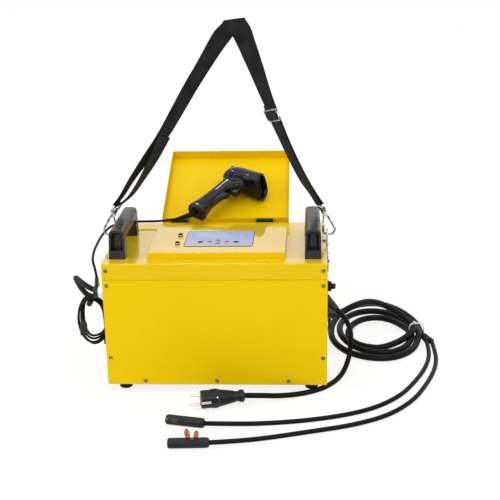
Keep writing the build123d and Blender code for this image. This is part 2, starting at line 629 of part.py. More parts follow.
def scanner_plug():
    # Right-angle round connector with a boot that points up.
    y, z = SCANNER_PORT
    x = -SIDE - 4
    body = rod((x - 8, y, z), (x, y, z), 13) + rod((x - 19, y, z), (x - 8, y, z), 11.5)
    return body + rod((x - 12, y, z), (x - 12, y, z + 30), 6, 3.6) - scanner_cord()


# Scanner

def scanner_plane():
    lean = math.radians(SCANNER_LEAN)
    normal = Vector(0, -math.sin(lean), math.cos(lean))
    return Plane(origin=Vector(0, 131, TOP + 3) + normal * SCANNER_RISE, x_dir=(1, 0, 0), z_dir=normal)


def slab(points, half):
    return extrude(make_face(Polyline(*points, close=True)), half, both=True)


def scanner_head():
    # Ovals along the head's axis from its egg-shaped back, then a straight hood.
    way, side = Vector(*HEAD_WAY), Vector(-HEAD_WAY[1], HEAD_WAY[0])
    sections = []
    for place, top, bottom, half, square in HEAD:
        middle = Vector(*HEAD_BACK) + way * place + side * ((top + bottom) / 2)
        plane = Plane(origin=middle, x_dir=side, z_dir=way)
        high, wide = top - bottom, 2 * half
        sections.append(plane * RectangleRounded(high, wide, min(high, wide) / 2 * square))
    return loft(sections[:-1]) + loft(sections[-2:])


def scanner_grip():
    # Ovals along the grip's spine, from the flared butt up into the head.
    sections = []
    for i, (u, v, half, thick, square) in enumerate(GRIP):
        before, after = GRIP[max(i - 1, 0)], GRIP[min(i + 1, len(GRIP) - 1)]
        way = Vector(after[0] - before[0], after[1] - before[1]).normalized()
        plane = Plane(origin=(u, v, 0), x_dir=(way.Y, -way.X, 0), z_dir=way)
        sections.append(plane * RectangleRounded(2 * half, 2 * thick, min(half, thick) * square))
    return loft(sections)


def scanner_body():
    nose = nose_plane()
    cheeks = fillet(slab(CHEEKS, 10.5).edges().filter_by(Axis.Z), 4)
    body = scanner_head() + scanner_grip() + cheeks
    body -= loft([nose.offset(-HOOD_DEEP) * RectangleRounded(*HOOD_BACK, 4),
                  nose.offset(1) * RectangleRounded(*HOOD, 6)])
    px, py = TRIGGER_PIVOT
    return body - slab(TRIGGER_SLOT, 7) - rod((px, py, -9.6), (px, py, 9.6), 1.25)


def nose_plane():
    # At the mouth of the hood, facing out.
    u, v = HEAD_WAY
    place, top, bottom = HEAD[-1][:3]
    middle = Vector(*HEAD_BACK) + Vector(u, v) * place + Vector(-v, u) * ((top + bottom) / 2)
    return Plane(origin=middle, x_dir=(-v, u, 0), z_dir=(u, v, 0))


def scanner_parts():
    # Drawn flat: the handle runs up to the right and the head points to the lower right.
    body = scanner_body()
    high, wide = HOOD_BACK
    window = extrude(nose_plane().offset(-HOOD_DEEP + 0.2) * RectangleRounded(high - 0.6, wide - 0.6, 4), 2.2)
    px, py = TRIGGER_PIVOT
    trigger = slab([(13, 79), (24, 75), (31, 86), (31, 92), (26, 94.5), (21, 92)], 6.4)
    trigger = fillet(trigger.edges().filter_by(Axis.Z), 1.6) + rod((px, py, -9.5), (px, py, 9.5), 1.2)
    relief = rod((-54, 22, 0), (-69, 4, -1), 7, 6)
    relief += loft([Plane(origin=(-69, 4, -1), z_dir=(-0.84, -0.54, 0)) * Circle(6),
                    Plane(origin=(-101, -11, -2), z_dir=(-0.95, -0.3, 0)) * Circle(3)])
    return {"scanner_body": body, "scanner_window": window, "scanner_trigger": trigger,
            "scanner_relief": relief - body}


# Mains cord and plug

def plug_plane():
    turn = math.radians(PLUG_TILT)
    return Plane(origin=(*PLUG_FACE, PLUG_R + 0.1), x_dir=(0, 0, 1), z_dir=(math.cos(turn), math.sin(turn), 0))


def plug_profile():
    # Face, raised ring, a taper with fine grooves, neck and end collar.
    points = [(0, 0), (PLUG_R - 2, 0), (PLUG_R - 1, 1.5), (PLUG_R - 1, 19), (PLUG_R, 20), (PLUG_R, 32),
              (PLUG_R - 1.5, 34)]
    for i in range(GROOVES):
        r, z = PLUG_R - 2 - 0.75 * i, 36 + 4.2 * i
        points += [(r, z), (r - 0.4, z + 2.8), (r - 1.5, z + 3.1), (r - 1.5, z + 3.9)]
    neck = PLUG_NECK_R
    points += [(neck, PLUG_L - 4), (neck, PLUG_L + 1), (neck + 2, PLUG_L + 2), (neck + 2, PLUG_L + 10),
               (neck - 1, PLUG_L + 12), (0, PLUG_L + 12)]
    return make_face(Polyline(*points, close=True))


def mains_plug():
    body = plug_plane() * revolve(Plane.XZ * plug_profile(), Axis.Z)
    flats = [plug_plane() * Pos(0, s * (PLUG_FLAT + 4), 0) * Box(50, 8, 36) for s in (-1, 1)]
    return body - flats - earth_strips() - mains_cord()


def earth_strips():
    # A brass contact let into each flat, up to the face.
    plane = plug_plane()
    return [plane * Pos(0, s * (PLUG_FLAT - 0.2), 9) * Box(5, 1.6, 18) for s in (-1, 1)]


def plug_pins():
    plane = plug_plane()
    pins = []
    for s in (-1, 1):
        pin = extrude(Pos(s * PIN_SPACING / 2, 0) * Circle(PLUG_PIN_R), -PLUG_PIN_L)
        pins.append(plane * fillet(pin.edges().group_by(Axis.Z)[0], 1))
    return pins + earth_strips()


MAINS_POINTS = [(234, -60, 147), (249, -57, 131), (260, -50, 108), (265, -42, 86), (265, -38, 56),
                (260, -47, 29.5), (248, -68, 10), (231, -97, 5.6), (206, -128, 5.6), (167, -151, 5.6),
                (124, -166, 8), (88, -177.5, 14.5), (55.8, -186.1, 18.6)]


def mains_cord():
    return tube("mains_cord", entering(MAINS_POINTS, 4, 4), MAINS_D)


# Welding cable: from its gland over to the coil, then outwards turn by turn
COIL_MID = (335.0, 140.0)
COIL_RIGHT, COIL_FRONT, COIL_LEFT, COIL_BACK = (388, 15), (84, -36), (272, -21), (212, 26)
COIL_TURNS = 3
COIL_LIFT = 1.6
TIE_W = 5.0


def coil_stations():
    y, z = WELD_AT
    floor = WELD_D / 2 + COIL_LIFT
    yield (SIDE + 32, y, z), (1, 0, 0)
    yield (310, 152, 80), (0.85, 0.5, -0.08)
    yield (364, 180, 56), (0.78, -0.12, -0.6)
    yield (COIL_RIGHT[0], COIL_MID[1], 34), (0.06, -0.9, -0.42)
    for turn in range(COIL_TURNS):
        right, front, left, back = [a + b * turn for a, b in (COIL_RIGHT, COIL_FRONT, COIL_LEFT, COIL_BACK)]
        yield (COIL_MID[0], front, floor), (-1, 0, 0)
        yield (left, COIL_MID[1] - 10, floor), (0, 1, 0)
        yield (COIL_MID[0], back, floor), (1, 0, 0)
        yield (right + COIL_RIGHT[1], COIL_MID[1] - 10, floor), (0, -1, 0)


def weld_coil():
    path = biarcs(list(coil_stations()))
    self_gap("weld_coil", path, WELD_D, COIL_TURNS + 1)
    return swept(path, WELD_D / 2)


SPLIT_X = COIL_RIGHT[0] + COIL_RIGHT[1] * COIL_TURNS
SPLIT_Y = COIL_MID[1] - 10
SPLIT_SHIFT = 8.0


def weld_split():
    # Moulded boot where the cable parts into two leads.
    z = WELD_D / 2 + COIL_LIFT
    near = Plane(origin=(SPLIT_X, SPLIT_Y + 8, z), x_dir=(1, 0, 0), z_dir=(0, -1, 0))
    far = near.offset(22) * Pos(SPLIT_SHIFT, 0)
    boot = loft([near * RectangleRounded(WELD_D + 2, WELD_D + 2, 6), far * RectangleRounded(23, 15, 6)])
    boot += extrude(far * RectangleRounded(23, 15, 6), 14)
    return boot - weld_coil() - [lead(name) for name in LEAD_POINTS]


def cable_tie():
    # A flat band round the strands of the coil, closed by its head on top.
    x, y, w = (COIL_RIGHT[0] + SPLIT_X) / 2 + 5, SPLIT_Y + 24, TIE_W
    section = Plane(origin=(x, y, WELD_D / 2 + COIL_LIFT), x_dir=(1, 0, 0), z_dir=(0, 1, 0))
    band = RectangleRounded(56, WELD_D + 3, 7) - RectangleRounded(53.4, WELD_D + 0.4, 6)
    return extrude(section * band, w / 2, both=True) + box(x + 4, x + 11, y - 4, y + 4, WELD_D + 3, WELD_D + 8)


def lead(name):
    return tube(name, entering(LEAD_POINTS[name], 6, 8), LEAD_D)


LEAD_POINTS = {
    "weld_lead_inner": [(435.5, 102, 8.6), (436, 62, 5.5), (431, 20, 4.7), (416, -34, 4.7), (391, -92, 4.7),
                        (357, -155, 4.7), (303, -209, 4.7), (238, -241, 4.7), (164, -262, 4.7), (92, -273, 4.7),
                        (34, -279, 7.0), (-12, -283, 9.7)],
    "weld_lead_outer": [(446.5, 102, 8.6), (448, 60, 5.5), (446, 12, 4.7), (434, -44, 4.7), (412, -104, 4.7),
                        (380, -174, 4.7), (328, -237, 4.7), (258, -277, 4.7), (180, -302, 4.7), (110, -325, 4.7),
                        (52, -343, 7.0), (3, -354, 9.7)]}
TERMINAL_WAYS = {"inner": (-1.0, 0.22), "outer": (-1.0, -0.05)}


def terminal_axis(name):
    end = Vector(*LEAD_POINTS["weld_lead_" + name][-1])
    way = Vector(*TERMINAL_WAYS[name], 0).normalized()
    return end, way


def weld_terminal(name):
    # Insulated sleeve, rounded at both ends, with the socket for a fitting's pin.
    end, way = terminal_axis(name)
    r, length = TERMINAL_R, TERMINAL_L
    profile = make_face(Polyline((0, 0), (6.4, 0), (8.2, 1.4), (r - 0.3, 4.5), (r, 8), (r, length - 4),
                                 (r - 0.7, length - 1.6), (r - 2.4, length), (0, length), close=True))
    plane = Plane(origin=end, x_dir=(0, 0, 1), z_dir=way)
    sleeve = plane * revolve(Plane.XZ * profile, Axis.Z)
    mouth = plane.offset(length - TERMINAL_BORE_L) * Circle(TERMINAL_BORE_R)
    seat = Pos(0, r) * Rectangle(CLIP_FOOT, 2 * CLIP_SEAT)
    seat = extrude(clip_plane(name).offset(-CLIP_W / 2) * seat, CLIP_W)
    return sleeve - extrude(mouth, TERMINAL_BORE_L + 5) - seat - lead("weld_lead_" + name)


CLIP_PLACES = {"inner": 60.0, "outer": 30.0}
CLIP_LEAN = {"inner": 62.0, "outer": 12.0}
CLIP_W, CLIP_FOOT, CLIP_SEAT, CLIP_T = 7.0, 22.0, 3.0, 1.6
# Each leaf: place along the sleeve, half width, height and lean
CLIP_LEAVES = ((6.6, 4.8, 24.0, -6.0), (-6.4, 4.6, 19.0, 8.0))


def clip_plane(name):
    end, way = terminal_axis(name)
    foot = end + way * CLIP_PLACES[name]
    plane = Plane(origin=foot, x_dir=way, z_dir=(way.Y, -way.X, 0))
    return plane.rotated((CLIP_LEAN[name], 0, 0))


def contact_clip(name):
    # Two copper leaves side by side, on a foot let into the sleeve.
    r = TERMINAL_R
    plane = clip_plane(name)
    foot = Pos(0, r - CLIP_SEAT / 2 + 0.4) * Rectangle(CLIP_FOOT, CLIP_SEAT + 0.8)
    clip = extrude(plane.offset(-CLIP_W / 2) * foot, CLIP_W)
    for place, half, tall, lean in CLIP_LEAVES:
        leaf = Pos(place, r - 1) * Rot(Z=lean) * Pos(0, tall / 2) * Ellipse(half, tall / 2)
        clip += extrude(plane.offset(-CLIP_T / 2) * leaf, CLIP_T)
    return clip


# Scanner cord and the data cable that hangs on the arm

def scanner_cord_points():
    plane = scanner_plane()
    start = plane.from_local_coords(Vector(-101.4, -11.1, -2))
    y, z = SCANNER_PORT
    return [(start.X, start.Y, start.Z), (-128, 112, 279), (-158, 116, 277), (-190, 112, 278), (-216, 100, 280),
            (-234, 74, 279), (-243, 36, 274), (-246, -8, 268), (-246, -50, 263), (-242, -83, 256),
            (-234, -101, 246), (-SIDE - 16, y, z + 30)]


def scanner_cord():
    return tube("scanner_cord", entering(scanner_cord_points(), 0, 4), THIN_D)


DATA_RX, DATA_RZ, DATA_DROP = 30.0, 50.0, 8.4
DATA_FIRST_Y, DATA_PITCH, DATA_TURNS = -63.0, 6.4, 4


def data_stations():
    # Hanging loops of several sizes round the peg, with a tail at each end.
    x, top = PEG[0], PEG[1] + DATA_DROP
    yield (-231, -55, 104), (0, 0, 1)
    yield (-233, -57, 150), (-0.1, -0.05, 1)
    for quarter in range(4 * DATA_TURNS + 1):
        angle = math.pi / 2 + quarter * math.pi / 2
        y = DATA_FIRST_Y - DATA_PITCH * quarter / 4
        size = 0.93 + 0.07 * math.cos(0.8 * quarter)
        rx, rz = DATA_RX * size, DATA_RZ * size
        point = (x + rx * math.cos(angle), y, top - rz + rz * math.sin(angle))
        way = (-rx * math.sin(angle), -DATA_PITCH / 6.3, rz * math.cos(angle))
        yield point, way
    yield (-268, -95, 158), (-0.05, -0.1, -1)
    yield (-266, -96, 138), (0.1, 0, -1)


def data_cable():
    path = biarcs(list(data_stations()))
    self_gap("data_cable", path, DATA_D, DATA_TURNS + 1)
    return swept(path, DATA_D / 2)


def data_plugs():
    # A slim black hood in front of the loops and a blue plug with its metal end behind them.
    hood = loft([Plane.XY.offset(138) * Circle(3.4), Plane.XY.offset(128) * RectangleRounded(14, 10, 3)])
    hood += extrude(Plane.XY.offset(106) * RectangleRounded(14, 10, 3), 22)
    plug = loft([Plane.XY.offset(104) * Circle(3.4), Plane.XY.offset(96) * RectangleRounded(12, 16, 3)])
    plug += extrude(Plane.XY.offset(80) * RectangleRounded(12, 16, 3), 16)
    shell = extrude(Plane.XY.offset(70) * RectangleRounded(8, 12, 1), 10)
    return [Pos(-266, -96, 0) * hood, Pos(-231, -55, 0) * (plug + shell)]


# Every node of the machine, by name

def nodes():
    yield "base_tray", base_tray()
    yield "front_panel", end_panel(FRONT, 1)
    yield "back_panel", back_panel()
    yield "left_side_panel", left_side_panel()
    yield "right_side_panel", right_side_panel()
    yield "top_cover", top_cover()
    yield "case_screws", case_screws()
    yield "rubber_feet", rubber_feet()
    yield "carry_handles", mirror_pair(handle())
    yield "console_plinth", console_plinth()
    yield "keypad_overlay", keypad_overlay()
    for name, place in KEYS.items():
        yield name, key(*place)
    yield "display_window", display_window()
    yield "display_module", display_module()
    yield "control_board", control_board()
    yield "console_sockets", console_sockets()
    yield "lid", lid()
    yield "lid_knob", lid_knob()
    yield "hinge_base_leaves", hinge_base_leaves()
    yield "hinge_lid_leaves", hinge_lid_leaves()
    yield "hinge_pins", hinge_pins()
    yield "strap_eyes", strap_eyes()
    yield "snap_hooks", [snap_hook(side) for side in (-1, 1)]
    yield "right_gate", gate()
    yield "left_gate", mirror(gate(), about=Plane.YZ)
    yield "strap_rings", [strap_ring(end) for end in (0, 1)]
    yield "shoulder_strap", shoulder_strap()
    yield "strap_buckle", strap_buckle()
    yield "switch_bezels", switch_bezels()
    yield "power_rocker", power_rocker()
    yield "selector_knob", selector_knob()
    yield "cable_glands", [mains_gland(), weld_gland()]
    yield "wall_sockets", [scanner_socket(), *data_socket()]
    yield "transformer_core", transformer_core()
    yield "transformer_winding", transformer_winding()
    yield "heat_sink", heat_sink()
    yield "power_module", power_module()
    yield "cable_arm", cable_arm()
    yield "scanner_plug", scanner_plug()
    plane = scanner_plane()
    for name, shape in scanner_parts().items():
        yield name, plane * shape
    yield "mains_plug", mains_plug()
    yield "plug_pins", plug_pins()
    yield "mains_cord", mains_cord()
    yield "weld_coil", weld_coil()
    yield "weld_split", weld_split()
    yield "cable_tie", cable_tie()
    yield "weld_leads", [lead(name) for name in LEAD_POINTS]
    yield "weld_terminals", [weld_terminal(name) for name in TERMINAL_WAYS]
    yield "contact_clips", [contact_clip(name) for name in TERMINAL_WAYS]
    yield "scanner_cord", scanner_cord()
    yield "data_cable", data_cable()
    yield "data_plugs", data_plugs()


os.makedirs("parts", exist_ok=True)
for name, made in nodes():
    pieces = made if isinstance(made, list) else [made]
    solids = [solid for piece in pieces for solid in piece.solids()]
    placed = Pos(*CASE_AT, 0) * Compound(children=solids) if len(solids) > 1 else Pos(*CASE_AT, 0) * solids[0]
    export_step(placed, f"parts/{name}.step")
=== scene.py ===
import math

import bmesh
import bpy
import numpy as np
from mathutils import Matrix, Vector


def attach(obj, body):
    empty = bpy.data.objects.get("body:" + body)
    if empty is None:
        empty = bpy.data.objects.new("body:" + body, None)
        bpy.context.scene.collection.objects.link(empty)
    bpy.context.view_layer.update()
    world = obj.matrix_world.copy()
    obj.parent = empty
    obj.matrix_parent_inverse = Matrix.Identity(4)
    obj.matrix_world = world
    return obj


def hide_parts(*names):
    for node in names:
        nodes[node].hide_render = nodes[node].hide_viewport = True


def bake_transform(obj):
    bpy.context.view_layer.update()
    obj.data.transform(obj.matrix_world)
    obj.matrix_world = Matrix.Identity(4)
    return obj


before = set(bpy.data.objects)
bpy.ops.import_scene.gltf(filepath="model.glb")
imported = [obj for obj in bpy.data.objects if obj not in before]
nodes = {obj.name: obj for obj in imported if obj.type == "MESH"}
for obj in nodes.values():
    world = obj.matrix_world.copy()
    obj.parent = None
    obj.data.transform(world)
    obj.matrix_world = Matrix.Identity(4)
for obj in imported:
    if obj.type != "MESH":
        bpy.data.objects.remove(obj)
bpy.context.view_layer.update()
scene = bpy.context.scene
scene.view_settings.view_transform = "Standard"
caseAt = np.array((23.0, -120.5, 0.0))  # middle of the case in the shared frame, mm
print("frame loaded,", len(nodes), "nodes")

def fromCase(points):
    # case millimetres to shared metres
    return (np.asarray(points, float) + caseAt) / 1000.0

def placed(name, data):
    thing = bpy.data.objects.new(name, data)
    scene.collection.objects.link(thing)
    return thing

# shader nodes

def addNode(tree, kind, values=(), **settings):
    # one node, its inputs either linked or set
    node = tree.nodes.new("ShaderNode" + kind)
    for key, value in settings.items():
        setattr(node, key, value)
    for place, value in values:
        if isinstance(value, bpy.types.NodeSocket):
            tree.links.new(value, node.inputs[place])
        else:
            node.inputs[place].default_value = value
    return node

def mathNode(tree, operation, first, second=0.0):
    return addNode(tree, "Math", [(0, first), (1, second)], operation=operation).outputs[0]

def vectorNode(tree, operation, first, second=(0, 0, 0)):
    return addNode(tree, "VectorMath", [(0, first), (1, second)], operation=operation).outputs

def rangeNode(tree, value, before, after):
    # a value carried from one range to another and held at its ends
    names = ("Value", "From Min", "From Max", "To Min", "To Max")
    values = zip(names, (value, *before, *after))
    return addNode(tree, "MapRange", values).outputs["Result"]

def mixColour(tree, share, before, colour):
    values = [("Fac", share), ("Color1", before), ("Color2", (*colour, 1))]
    return addNode(tree, "MixRGB", values).outputs[0]

def mixShader(tree, share, first, second):
    return addNode(tree, "MixShader", [(0, share), (1, first), (2, second)]).outputs[0]

def objectPlace(tree):
    return addNode(tree, "TexCoord").outputs["Object"]

def axesOf(tree, vector):
    return addNode(tree, "SeparateXYZ", [(0, vector)]).outputs

def ripple(tree, along, pitch):
    # a sine along one direction in metres, its pitch in millimetres
    return mathNode(tree, "SINE", mathNode(tree, "MULTIPLY", along, 2000 * math.pi / pitch))

# camera, light and floor

cameraSet = {"place": (0.1906, -2.0595, 0.8863), "turn": 3.12, "down": 18.13, "roll": -1.09,
    "lens": 72.97, "sensor": 36.0}

def setCamera(look):
    data = bpy.data.cameras.new("camera")
    data.lens = look["lens"]
    data.sensor_width = look["sensor"]
    camera = placed("camera", data)
    camera.matrix_world = (Matrix.Translation(look["place"])
                           @ Matrix.Rotation(math.radians(look["turn"]), 4, "Z")
                           @ Matrix.Rotation(math.radians(90 - look["down"]), 4, "X")
                           @ Matrix.Rotation(math.radians(look["roll"]), 4, "Z"))
    scene.camera = camera

# place, aim, size in metres and watts
lamps = {
    "overheadSoftbox": ((0.0, -0.1, 2.9), (0.0, -0.1, 0.2), 3.0, 36.0),
    "frontLeftSoftbox": ((-1.2, -2.9, 1.9), (0.0, -0.2, 0.25), 1.4, 20.0),
    "frontRightSoftbox": ((1.3, -2.8, 2.0), (0.05, -0.2, 0.25), 1.4, 24.0),
    "leftSoftbox": ((-2.8, -1.1, 1.7), (0.0, -0.2, 0.25), 1.2, 18.0),
    "rightSoftbox": ((2.8, -1.1, 1.6), (0.05, -0.2, 0.25), 1.2, 9.0),
    "rimLamp": ((-0.4, 1.6, 2.7), (0.03, 0.0, 0.38), 0.24, 4.5),
}
# between the two distances in clear the floor goes over to a full glow
roomSet = {"ambient": 0.42, "floorTone": 0.86, "floorGlow": 0.78, "glowStrength": 1.06,
    "clear": (0.5, 0.85), "floorSize": 9.0}
white = (1, 1, 1, 1)

def setLamps():
    for name, (place, aim, size, watts) in lamps.items():
        data = bpy.data.lights.new(name, "AREA")
        data.size = size
        data.energy = watts
        lamp = placed(name, data)
        lamp.location = place
        way = Vector(aim) - lamp.location
        lamp.rotation_euler = way.to_track_quat("-Z", "Y").to_euler()

def seenRay(tree):
    # 1 for what the camera, a mirror or glass sees
    path = addNode(tree, "LightPath").outputs
    seen = mathNode(tree, "MAXIMUM", path["Is Camera Ray"], path["Is Glossy Ray"])
    return mathNode(tree, "MAXIMUM", seen, path["Is Transmission Ray"])

def setWorld(look):
    world = bpy.data.worlds.new("studio")
    scene.world = world
    world.use_nodes = True
    tree = world.node_tree
    tree.nodes.clear()
    soft, bright = [addNode(tree, "Background", [("Color", white), ("Strength", strength)]).outputs[0]
                    for strength in (look["ambient"], 1.0)]
    addNode(tree, "OutputWorld", [("Surface", mixShader(tree, seenRay(tree), soft, bright))])

def addFloor(look):
    half = look["floorSize"] / 2
    tone = look["floorTone"]
    mesh = bpy.data.meshes.new("floor")
    corners = [(-half, -half, 0), (half, -half, 0), (half, half, 0), (-half, half, 0)]
    mesh.from_pydata(corners, [], [(0, 1, 2, 3)])
    floor = placed("floor", mesh)
    material = bpy.data.materials.new("paleFloor")
    material.use_nodes = True
    tree = material.node_tree
    tree.nodes.clear()
    plain = addNode(tree, "BsdfDiffuse", [("Color", (tone, tone, tone, 1))]).outputs[0]
    glow = addNode(tree, "Emission", [("Color", white), ("Strength", look["glowStrength"])]).outputs[0]
    away = vectorNode(tree, "LENGTH", objectPlace(tree))["Value"]
    share = rangeNode(tree, away, look["clear"], (look["floorGlow"], 1.0))
    pale = mixShader(tree, share, plain, glow)
    addNode(tree, "OutputMaterial", [("Surface", mixShader(tree, seenRay(tree), plain, pale))])
    mesh.materials.append(material)

setCamera(cameraSet)
setLamps()
setWorld(roomSet)
addFloor(roomSet)
print("camera, lamps and floor set")

# finishes: tone and shade are the two ends of the colour drift, patch and grain are noises per metre

paintBase = {"patch": 5, "grain": 900, "raise": 0.015, "rough": (0.24, 0.32), "spec": 0.1, "edge": 0.0012}
lacquerBase = {**paintBase, "raise": 0.004, "coat": 1.0, "coatRough": 0.05}
plasticBase = {"patch": 45, "grain": 1900, "raise": 0.08, "rough": (0.3, 0.42), "spec": 0.36, "edge": 0.0005}
metalBase = {"patch": 60, "grain": 1500, "raise": 0.04, "metal": 1.0, "edge": 0.0003}
finishes = {
    "casePaint": {**paintBase, "tone": (0.85, 0.585, 0.002), "shade": (0.83, 0.555, 0.001),
        "spec": 0.05, "edge": 0.0014},
    "lidPaint": {**paintBase, "tone": (0.83, 0.56, 0.002), "shade": (0.80, 0.525, 0.001),
        "rough": (0.3, 0.4), "spec": 0.03},
    "topPaint": {**lacquerBase, "tone": (0.82, 0.56, 0.004), "shade": (0.78, 0.52, 0.002),
        "coatIor": 1.8, "coatAbove": 0.2676},
    "deckPaint": {**lacquerBase, "tone": (0.84, 0.57, 0.006), "shade": (0.80, 0.53, 0.003),
        "coatIor": 2.15, "coatAbove": 0.2806},
    "trayPaint": {**paintBase, "tone": (0.82, 0.54, 0.002), "shade": (0.76, 0.48, 0.001),
        "patch": 6, "grain": 700, "raise": 0.05, "rough": (0.26, 0.36), "edge": 0.0008},
    "handlePlastic": {**plasticBase, "tone": (0.015, 0.015, 0.017), "shade": (0.010, 0.010, 0.012),
        "patch": 30, "grain": 1600, "raise": 0.1, "rough": (0.26, 0.36), "edge": 0.0009},
    "fittingPlastic": {**plasticBase, "tone": (0.012, 0.012, 0.014), "shade": (0.007, 0.007, 0.008)},
    "plugPlastic": {**plasticBase, "tone": (0.010, 0.0102, 0.0125), "shade": (0.006, 0.0062, 0.008),
        "spec": 0.25},
    "armPlastic": {**plasticBase, "tone": (0.010, 0.010, 0.011), "shade": (0.006, 0.006, 0.007),
        "raise": 0.05, "rough": (0.22, 0.32), "spec": 0.32},
    "scannerPlastic": {"tone": (0.005, 0.0055, 0.009), "shade": (0.003, 0.0035, 0.006),
        "patch": 40, "grain": 2400, "raise": 0.01, "rough": (0.07, 0.11), "spec": 0.24},
    "cordRubber": {"tone": (0.0055, 0.0055, 0.006), "shade": (0.003, 0.003, 0.0035),
        "patch": 60, "grain": 1300, "raise": 0.1, "rough": (0.34, 0.46), "spec": 0.1},
    "softRubber": {"tone": (0.009, 0.009, 0.009), "shade": (0.005, 0.005, 0.005), "patch": 70,
        "grain": 1500, "raise": 0.2, "rough": (0.55, 0.7), "spec": 0.12, "edge": 0.0006},
    # chromeWire: its drift between near black and bright on a short noise is painted reflection, dark and
    # bright patches in place of what the chrome mirrors
    "chromeWire": {**metalBase, "tone": (0.72, 0.71, 0.69), "shade": (0.035, 0.033, 0.030),
        "patch": 170, "grain": 1200, "raise": 0.03, "rough": (0.08, 0.18)},
    "brightCollar": {**metalBase, "tone": (0.80, 0.79, 0.84), "shade": (0.66, 0.65, 0.70),
        "grain": 1200, "raise": 0.03, "rough": (0.16, 0.26)},
    "eyeSteel": {**metalBase, "tone": (0.46, 0.46, 0.48), "shade": (0.38, 0.38, 0.40),
        "grain": 1600, "rough": (0.26, 0.36), "edge": 0.0004},
    # screwSteel: its drift to a dark bluish tone on a short noise is painted reflection, dark patches in
    # place of what the heads mirror
    "screwSteel": {**metalBase, "tone": (0.32, 0.32, 0.36), "shade": (0.03, 0.03, 0.045),
        "patch": 330, "grain": 2000, "raise": 0.06, "rough": (0.14, 0.26)},
    "hingeBlack": {"tone": (0.008, 0.008, 0.008), "shade": (0.004, 0.004, 0.004), "patch": 60,
        "grain": 1700, "raise": 0.08, "rough": (0.35, 0.5), "spec": 0.2, "edge": 0.0003},
    "copperLeaf": {**metalBase, "tone": (0.72, 0.30, 0.13), "shade": (0.50, 0.17, 0.06),
        "patch": 160, "raise": 0.05, "rough": (0.2, 0.34), "stripe": 3.1},
    "brassPin": {**metalBase, "tone": (0.72, 0.68, 0.58), "shade": (0.60, 0.55, 0.45),
        "patch": 200, "rough": (0.16, 0.28)},
    "tieNylon": {"tone": (0.80, 0.80, 0.77), "shade": (0.68, 0.68, 0.65), "patch": 120, "grain": 1500,
        "raise": 0.06, "rough": (0.35, 0.45), "edge": 0.0004},
    "darkGlass": {"tone": (0.05, 0.018, 0.012), "shade": (0.03, 0.01, 0.008), "patch": 60, "grain": 900,
        "raise": 0.01, "rough": (0.05, 0.1), "coat": 1.0},
    "boardGreen": {"tone": (0.02, 0.16, 0.05), "shade": (0.01, 0.09, 0.03), "patch": 200, "grain": 900,
        "raise": 0.1, "rough": (0.35, 0.5)},
    "coreSteel": {"tone": (0.2, 0.2, 0.21), "shade": (0.12, 0.12, 0.13), "patch": 80, "grain": 900,
        "raise": 0.2, "rough": (0.4, 0.6), "metal": 0.8},
    "windingCopper": {"tone": (0.55, 0.2, 0.06), "shade": (0.35, 0.12, 0.04), "patch": 300, "grain": 700,
        "raise": 0.3, "rough": (0.3, 0.45), "metal": 0.9},
    "sinkAluminium": {"tone": (0.6, 0.61, 0.62), "shade": (0.5, 0.5, 0.52), "patch": 120, "grain": 900,
        "raise": 0.05, "rough": (0.3, 0.42), "metal": 1.0},
}
# the same for all; drift, gloss and stripeWave say where each begins and ends on its noise or wave
finishSet = {"details": (3, 4, 2), "glossScale": 7, "drift": (0.32, 0.68), "gloss": (0.3, 0.7),
    "depth": 0.0006, "bevelSamples": 4, "stripeWave": (-0.9, 0.3), "stripeShade": (0.18, 1.0),
    "lacquerStep": 0.0002}
# the shader's plain values: socket, name in the dictionaries above and usual value
plainSockets = [("Metallic", "metal", 0.0), ("Specular IOR Level", "spec", 0.5),
    ("Coat Weight", "coat", 0.0), ("Coat Roughness", "coatRough", 0.03),
    ("Coat IOR", "coatIor", 1.5)]

def finish(name, look):
    # the colour drifts between two tones on a broad noise, the gloss follows a middle one,
    # and a fine one raises the grain; edges are eased by a small bevel in the normal
    material = bpy.data.materials.new(name)
    material.use_nodes = True
    tree = material.node_tree
    shader = tree.nodes["Principled BSDF"]
    place = objectPlace(tree)
    scales = (look["patch"], look["patch"] * finishSet["glossScale"], look["grain"])
    broad, middle, fine = [
        addNode(tree, "TexNoise", [("Vector", place), ("Scale", scale), ("Detail", detail)]).outputs["Fac"]
        for scale, detail in zip(scales, finishSet["details"])]
    ramp = addNode(tree, "ValToRGB", [("Fac", broad)])
    ends = zip(ramp.color_ramp.elements, finishSet["drift"], (look["shade"], look["tone"]))
    for element, position, tone in ends:
        element.position = position
        element.color = (*tone, 1)
    colour = ramp.outputs["Color"]
    if "stripe" in look:
        wave = ripple(tree, axesOf(tree, place)[0], look["stripe"])
        deep = rangeNode(tree, wave, finishSet["stripeWave"], finishSet["stripeShade"])
        colour = vectorNode(tree, "MULTIPLY", colour, deep)[0]
    gloss = rangeNode(tree, middle, finishSet["gloss"], look["rough"])
    bump = addNode(tree, "Bump", [("Strength", look["raise"]), ("Distance", finishSet["depth"]),
                                  ("Height", fine)])
    if "edge" in look:
        eased = addNode(tree, "Bevel", [("Radius", look["edge"])], samples=finishSet["bevelSamples"])
        tree.links.new(eased.outputs[0], bump.inputs["Normal"])
    tree.links.new(colour, shader.inputs["Base Color"])
    tree.links.new(gloss, shader.inputs["Roughness"])
    tree.links.new(bump.outputs["Normal"], shader.inputs["Normal"])
    for socket, key, usual in plainSockets:
        shader.inputs[socket].default_value = look.get(key, usual)
    if "coatAbove" in look:
        heights = (look["coatAbove"], look["coatAbove"] + finishSet["lacquerStep"])
        lacquer = rangeNode(tree, axesOf(tree, place)[2], heights, (0.0, look["coat"]))
        tree.links.new(lacquer, shader.inputs["Coat Weight"])
    return material

